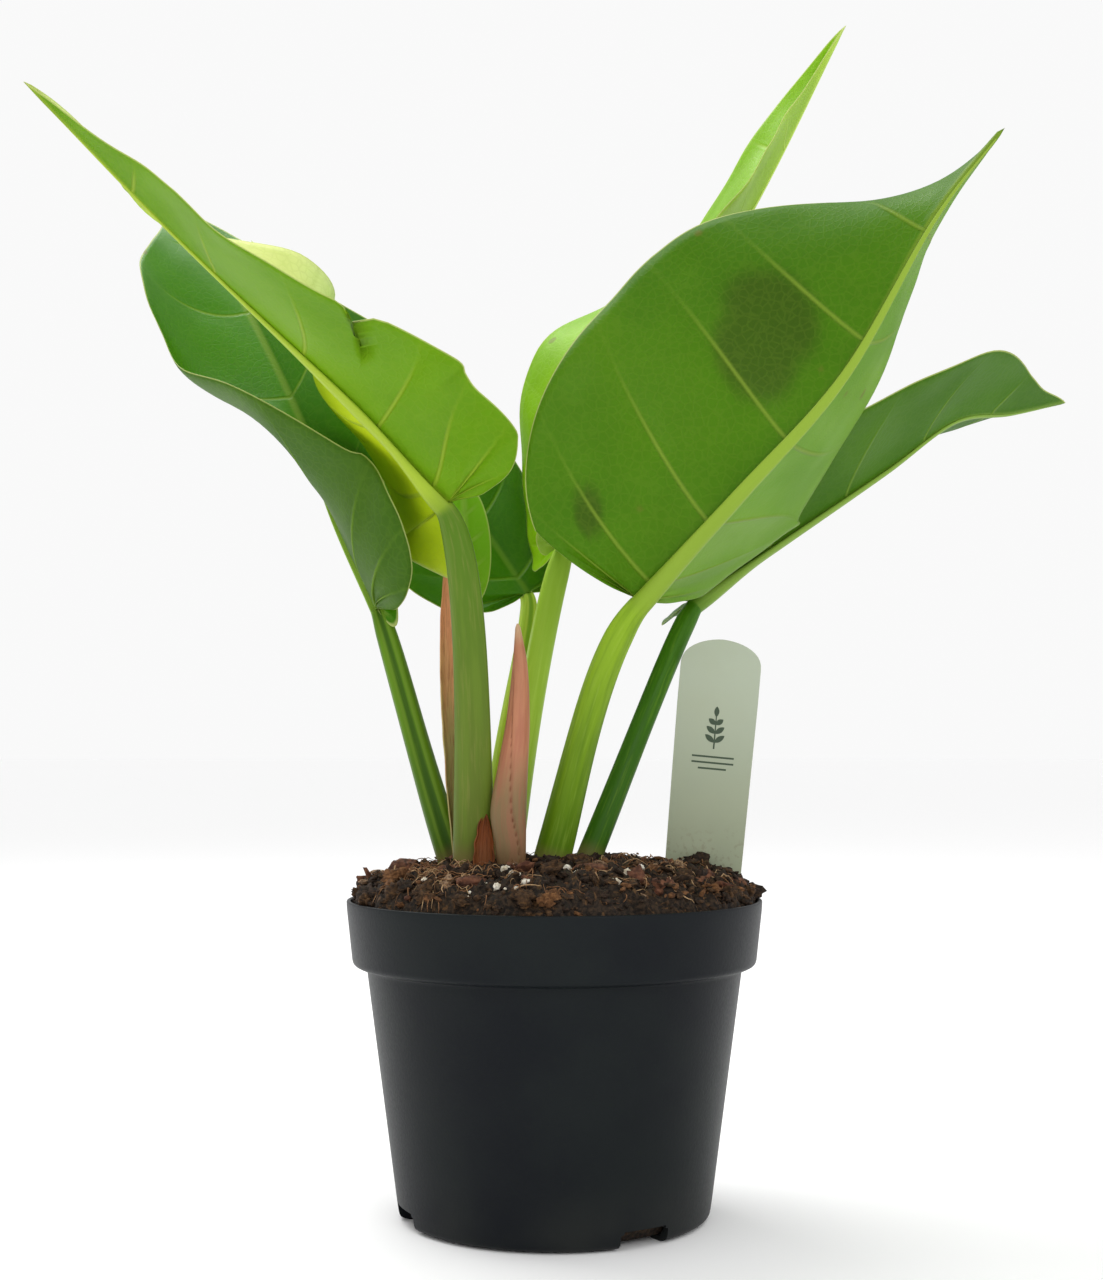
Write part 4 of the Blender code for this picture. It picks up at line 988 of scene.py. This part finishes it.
def blade_paint(name, left, right, veins, seed, relief, roughness, shine):
    """Leaf skin with light shining through it. relief is how far the veins stand out, in metres."""
    made, tree, shader = finish_named(name, roughness, shine)
    marks = placed(tree, leaf_marks, Seed=seed)
    body = tint(tree, marks["Right Half"], left, right)
    # Sunny brightens patches of the blade as painted light shining through it
    for patches, share, times in (("Cloud", 0.6, (0.62, 0.72, 0.5, 1)), ("Sunny", 0.55, (1.28, 1.14, 0.8, 1))):
        other = node(tree, "ShaderNodeMix", {0: 1.0, 6: body, 7: times}, data_type="RGBA", blend_type="MULTIPLY")
        body = tint(tree, maths(tree, "MULTIPLY", marks[patches], share), body, other.outputs[2])
    # the first of these darkens patches of the blade as painted shade of a fold
    for what, share, shade in (("Painted Shade", 0.7, colour(58, 80, 12)), ("Net", 0.10, veins), ("Veins", 0.75, veins),
                               ("Rim", 0.75, colour(206, 214, 130)), ("Specks", 0.55, colour(120, 104, 44))):
        body = tint(tree, maths(tree, "MULTIPLY", marks[what], share), body, shade)
    skin = bump(tree, marks["Relief"], 0.8, relief)
    finish_linked(tree, shader, body, band(tree, marks["Cloud"], 0, 1, roughness - 0.05, roughness + 0.07), skin)
    shining_through = tint(tree, 0.45, body, (0.42, 0.62, 0.01, 1))
    glow = node(tree, "ShaderNodeBsdfTranslucent", {"Color": shining_through, "Normal": skin})
    both = node(tree, "ShaderNodeMixShader", {0: 0.30, 1: shader.outputs[0], 2: glow.outputs[0]})
    tree.links.new(both.outputs[0], tree.nodes["Material Output"].inputs["Surface"])
    return made


def stalk_paint(name, foot, top, stripe, edges, veins):
    """Smooth green stalk with fine lines along it, a stripe down its groove and paler edges to that."""
    made, tree, shader = finish_named(name, 0.40, 0.14)
    # along_fibres runs slowly along the stalk and fast across it, so a plain cloud in it makes long fibres
    fibre = mark(tree, "along_fibres", "Vector")
    lines = node(tree, "ShaderNodeTexNoise", {"Vector": fibre, "Scale": 1.1, "Detail": 4.0}).outputs[0]
    spread = node(tree, "ShaderNodeTexNoise", {"Vector": fibre, "Scale": 0.35, "Detail": 2.0}).outputs[0]
    rise = mark(tree, "rise")
    body = tint(tree, band(tree, rise, 0.0, 0.9), foot, top)
    body = tint(tree, maths(tree, "MULTIPLY", band(tree, spread, 0.4, 0.65), 0.4), body, stripe)
    groove = mark(tree, "groove")
    body = tint(tree, maths(tree, "MULTIPLY", band(tree, groove, 0.45, 0.9), 0.8), body, stripe)
    ridge = maths(tree, "MULTIPLY", band(tree, groove, 0.10, 0.30), band(tree, groove, 0.60, 0.40))
    body = tint(tree, maths(tree, "MULTIPLY", ridge, 0.7), body, edges)
    body = tint(tree, maths(tree, "MULTIPLY", band(tree, lines, 0.5, 0.75), 0.28), body, edges)
    body = tint(tree, maths(tree, "MULTIPLY", band(tree, rise, 0.07, 0.0), 0.55), body, colour(132, 108, 72))
    body = tint(tree, band(tree, rise, 0.94, 1.06), body, veins)
    finish_linked(tree, shader, body, band(tree, lines, 0.3, 0.7, 0.38, 0.52), bump(tree, lines, 0.35, 0.0004))
    return made


def stalk_tube(leaf, spine, foot, sides=32):
    """Stalk from its buried end to the start of the blade, then on as the midrib, half sunk in the blade.
    It is round with a shallow groove on the side that the blade's upper side looks to."""
    ribs = np.linspace(0, 0.97, 70)
    thick = 0.00035 + (leaf["radii"][1] * 0.85 - 0.00035) * (1 - ribs / 0.97)**1.25
    flat = 1 - 0.5 * ease(ribs, 0.0, 0.16)
    depth = thick * flat * 0.5 + 0.0006
    forward, right, up = spine.frame(ribs, leaf["facing"])
    sunk = spine.point(ribs) - up * depth[:, None]
    top = sunk[0]
    chord = np.linalg.norm(top - foot)
    first = foot + unit(leaf["rise"]) * chord * leaf["reach"][0]
    second = top - forward[0] * chord * leaf["reach"][1]
    t = np.linspace(0, 1, 61)[:-1, None]
    rising = (1 - t)**3 * foot + 3 * (1 - t)**2 * t * first + 3 * (1 - t) * t**2 * second + t**3 * top
    points = np.vstack([foot - unit(leaf["rise"]) * 0.010, rising, sunk])
    low, high = leaf["radii"]
    radius = np.concatenate([[low], low + (high - low) * t[:, 0], thick])
    # from the stalk's own thickness to the midrib's, over the last of the rise
    radius[1:61] += (thick[0] - high) * ease(t[:, 0], 0.80, 1.0)
    broad = np.concatenate([[leaf["broad"]], leaf["broad"] + (1 - leaf["broad"]) * t[:, 0]**2, np.ones(len(ribs))])
    rise = np.concatenate([[0], t[:, 0], 1 + ribs])
    ways = unit(np.gradient(points, axis=0))
    tops = np.zeros_like(points)
    tops[61:] = up - (up * ways[61:]).sum(axis=1, keepdims=True) * ways[61:]
    for k in range(60, -1, -1):
        tops[k] = tops[k + 1] - tops[k + 1].dot(ways[k]) * ways[k]
        tops[k] /= np.linalg.norm(tops[k])
    tops = unit(tops)
    across = np.cross(ways, tops)
    turns = np.linspace(0, 2 * math.pi, sides, endpoint=False)
    groove = np.exp(-((turns + math.pi) % (2 * math.pi) - math.pi)**2 / 0.42**2)
    edge = np.exp(-(np.abs((turns + math.pi) % (2 * math.pi) - math.pi) - 0.75)**2 / 0.25**2)
    deep = 0.24 * ease(rise, 1.35, 0.9)
    shape = 1 - deep[:, None] * groove[None, :] + 0.3 * deep[:, None] * edge[None, :]
    size = radius[:, None] * shape * (1 + 0.02 * np.sin(9 * rise + 1.3)[:, None])
    over = np.cos(turns)[None, :] * size
    over[61:] = np.minimum(over[61:] * flat[:, None], (depth - 0.0006)[:, None])
    spread = tops[:, None] * over[..., None] + across[:, None] * (np.sin(turns)[None, :] * size)[..., None]
    spread[..., 0] *= broad[:, None]        # a foot is broader from left to right than from front to back
    surface = points[:, None] + spread
    length = np.concatenate([[0], np.cumsum(np.linalg.norm(np.diff(points, axis=0), axis=1))])
    fibres = np.stack([np.cos(turns)[None, :] * radius[:, None] * 1000, np.sin(turns)[None, :] * radius[:, None] * 1000,
                       (length * 1000 * 0.06)[:, None] * np.ones(sides)], -1).reshape(-1, 3)
    return surface.reshape(-1, 3), tube_faces(len(points), sides, other_way=True), {
        "along_fibres": fibres, "rise": np.repeat(rise, sides),
        "groove": (groove[None, :] * ease(rise, 1.3, 1.0)[:, None]).ravel()}


for number, (name, leaf) in enumerate(LEAVES.items()):
    under_left, upper_left, under_right, upper_right, veins, low_green, high_green, stripe, edges = (
        colour(*c) for c in GREENS[name])
    foot = np.array((*leaf["foot"], SURFACE))
    spine = Spine(foot + np.array(leaf["base"]) + np.array(leaf["course"]) * leaf["length"])
    grid, normal, marks = blade_sheet(leaf, spine)
    thickness = 0.00022 + 0.00042 * ease(marks["edge_mm"], 0.0, 2.5)
    points, faces, numbers, at = shell(grid, normal, thickness)
    data = marked(points, faces, numbers, {key: values.ravel()[at] for key, values in marks.items()})
    blade = put(name + "_blade", data, [
        blade_paint(name + "_upper", upper_left, upper_right, veins, 1.7 * number, -0.0004, 0.38, 0.12),
        blade_paint(name + "_under", under_left, under_right, veins, 1.7 * number + 0.6, 0.0006, 0.48, 0.15)])
    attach(blade, "root")
    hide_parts("blade_" + name)
    points, faces, marks = stalk_tube(leaf, spine, foot)
    stalk = put(name + "_stalk", marked(points, faces, [0] * len(faces), marks), [
        stalk_paint(name + "_stalk", low_green, high_green, stripe, edges, edges if name == "young" else veins)])
    stalk.data.set_sharp_from_angle(angle=math.radians(60))
    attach(stalk, "root")
    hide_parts("stalk_" + name)

# ---------------------------------------------------------------- tall dry sheath and dry bract
# Papery scales that wrapped earlier leaves. They are dry and ribbed lengthwise, red brown at the tip
# and olive below, with thin margins that have begun to roll and fray.


def scale_sheet(place, length, width, buried, lean, bend, hold, rows, across, ragged, seed):
    """Sheathing scale, widest low down and hollow towards the front, as grid, outward ways and shares."""
    share = np.linspace(0, 1, rows + 1)[:, None]
    j = np.linspace(-1, 1, 2 * across + 1)[None, :]
    fray = np.array([[noise.noise(Vector((k * 0.16, side * 7.7, seed))) for side in (-1, 1)] for k in range(rows + 1)])
    fray = 1 + ragged * np.where(j < 0, fray[:, :1], fray[:, 1:]) * np.abs(j)**2
    half = width / 2 * (1 - share**5)**0.8 * (0.92 + 0.16 * np.sin(math.pi * share)) * fray
    turn = math.radians(hold) * (1 - 0.8 * share)
    angle = turn * j
    x = half * np.sin(angle) / np.maximum(np.sin(turn), 0.01)
    y = -half * (1 - np.cos(angle)) / np.maximum(np.sin(turn), 0.01)
    # the margins roll forwards, and low ribs run up the back
    y = y - 0.0016 * np.abs(j)**6 * (1 - share**4)
    ribs = 0.00012 * np.sin(j * 17 + 0.6 * np.sin(5 * share))
    grid = np.stack([place[0] + lean[0] * share**bend + x, place[1] + lean[1] * share + y - ribs,
                     (SURFACE - buried + length * share) * np.ones_like(j)], -1)
    normal = np.cross(np.gradient(grid, axis=1), np.gradient(grid, axis=0))
    normal[-1] = normal[-2]
    return grid, unit(normal), share * np.ones_like(j), j * np.ones_like(share)


def scale_paint(name, low, high, streak, seed):
    made, tree, shader = finish_named(name, 0.6)
    fibre = mark(tree, "along_fibres", "Vector")
    fibre = node(tree, "ShaderNodeVectorMath", {0: fibre, 1: (seed, 0, 0)}, operation="ADD").outputs[0]
    lines = node(tree, "ShaderNodeTexNoise", {"Vector": fibre, "Scale": 1.6, "Detail": 5.0}).outputs[0]
    blotch = node(tree, "ShaderNodeTexNoise", {"Vector": fibre, "Scale": 0.45, "Detail": 3.0}).outputs[0]
    rise = maths(tree, "ADD", mark(tree, "rise"), maths(tree, "MULTIPLY", maths(tree, "SUBTRACT", blotch, 0.5), 0.5))
    body = tint(tree, band(tree, rise, 0.30, 0.72), low, high)
    body = tint(tree, maths(tree, "MULTIPLY", band(tree, lines, 0.48, 0.66), 0.7), body, streak)
    finish_linked(tree, shader, body, band(tree, lines, 0.3, 0.7, 0.5, 0.7), bump(tree, lines, 0.7, 0.0006))
    return made


# piece, node, slot, scale, thickness, colours low, high and streak
for name, stands_for, slot, scale, thick, colours in (
        ("sheath_scale", "tall_sheath", "sheath",
         ((-0.0293, 0.0016), 0.137, 0.0164, 0.006, (-0.0085, -0.001), 0.8, 62, 110, 26, 0.03, 2.0), 0.0005,
         ((176, 162, 104), (206, 142, 98), (160, 112, 74))),
        ("bract_scale", "dry_bract", "bract",
         ((-0.0264, -0.0170), 0.026, 0.0066, 0.008, (0.0008, 0.0015), 1.0, 50, 40, 10, 0.30, 5.0), 0.0004,
         ((120, 70, 34), (122, 64, 26), (78, 40, 20)))):
    grid, normal, share, j = scale_sheet(*scale)
    points, faces, numbers, at = shell(grid, normal, np.full(share.shape, thick))
    fibres = np.stack([j * scale[2] * 500, np.zeros_like(j), share * scale[1] * 1000 * 0.07], -1).reshape(-1, 3)[at]
    piece = put(name, marked(points, faces, [0] * len(faces), {"along_fibres": fibres, "rise": share.ravel()[at]}),
                [scale_paint(name, *(colour(*c) for c in colours), scale[1] * 40)])
    piece.data.set_sharp_from_angle(angle=math.radians(55))
    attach(piece, "root")
    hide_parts(stands_for)

# ---------------------------------------------------------------- new shoot
# The next leaf, still rolled up tight inside its pink scale. The scale's overlapping edge winds up
# it as a small step, and its foot is dry and streaked brown.

SHOOT_PLACE, SHOOT_LENGTH, SHOOT_RADIUS = (-0.0155, -0.0185), 0.096, 0.0066
steps = np.linspace(0, 1, 121)
course = smooth((
    (0.000, 0, -0.09), (-0.001, 0, 0.07), (-0.0018, 0.0002, 0.20), (0, 0.001, 0.38), (0.0018, 0.002, 0.55),
    (0.0026, 0.0028, 0.75), (0.0018, 0.0034, 0.92)), steps) * (1, 1, SHOOT_LENGTH) + (*SHOOT_PLACE, SURFACE)
girth = smooth([[g] for g in (0.70, 0.86, 1.0, 0.84, 0.66, 0.44, 0.13)], steps)[:, 0] * SHOOT_RADIUS
girth *= np.sqrt(np.clip((1.004 - steps) / 0.02, 0, 1))
sides = 72
turns = np.linspace(0, 2 * math.pi, sides, endpoint=False)
seam = -0.6 - 2.2 * steps                    # where the overlapping edge lies, in radians from +X
past = (turns[None, :] - seam[:, None]) % (2 * math.pi)
lap = 0.13 * (1 - np.clip(past / 5.2, 0, 1)) * ease(past, 0, 0.10)
lap -= 0.10 * np.exp(-(past / 0.09)**2)
radius = girth[:, None] * (0.95 + lap + 0.012 * np.sin(7 * turns[None, :] + 4 * steps[:, None]))
ring = np.stack([radius * np.cos(turns), radius * 0.87 * np.sin(turns), np.zeros_like(radius)], -1)
surface = (course[:, None] + ring).reshape(-1, 3)
fibres = np.stack([radius * np.cos(turns) * 1000, radius * np.sin(turns) * 1000,
                   (steps * SHOOT_LENGTH * 60)[:, None] * np.ones(sides)], -1).reshape(-1, 3)
made, tree, shader = finish_named("shoot_pink", 0.45)
fibre = mark(tree, "along_fibres", "Vector")
lines = node(tree, "ShaderNodeTexNoise", {"Vector": fibre, "Scale": 1.3, "Detail": 4.0}).outputs[0]
blotch = node(tree, "ShaderNodeTexNoise", {"Vector": fibre, "Scale": 0.5, "Detail": 2.0}).outputs[0]
rise = mark(tree, "rise")
body = tint(tree, band(tree, rise, 0.34, 0.60), colour(128, 106, 72), colour(178, 120, 90))
body = tint(tree, maths(tree, "MULTIPLY", band(tree, blotch, 0.42, 0.66), 0.45), body, colour(156, 92, 72))
body = tint(tree, band(tree, rise, 0.90, 0.99), body, colour(196, 160, 126))
body = tint(tree, band(tree, rise, 0.20, 0.05), body, colour(104, 80, 50))
body = tint(tree, maths(tree, "MULTIPLY", band(tree, lines, 0.52, 0.72), 0.22), body, colour(150, 100, 76))
# a darker line along the seam, painted shade where the overlapping edge steps over the layer below
body = tint(tree, maths(tree, "MULTIPLY", mark(tree, "seam"), 0.35), body, colour(132, 74, 58))
finish_linked(tree, shader, body, band(tree, lines, 0.3, 0.7, 0.38, 0.55), bump(tree, lines, 0.45, 0.0005))
faces = tube_faces(len(steps), sides)
shoot = put("shoot_rolled", marked(surface, faces, [0] * len(faces), {
    "along_fibres": fibres, "rise": np.repeat(steps, sides), "seam": np.exp(-(past / 0.12)**2).ravel()}), [made])
shoot.data.set_sharp_from_angle(angle=math.radians(60))
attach(shoot, "root")
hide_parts("new_shoot")
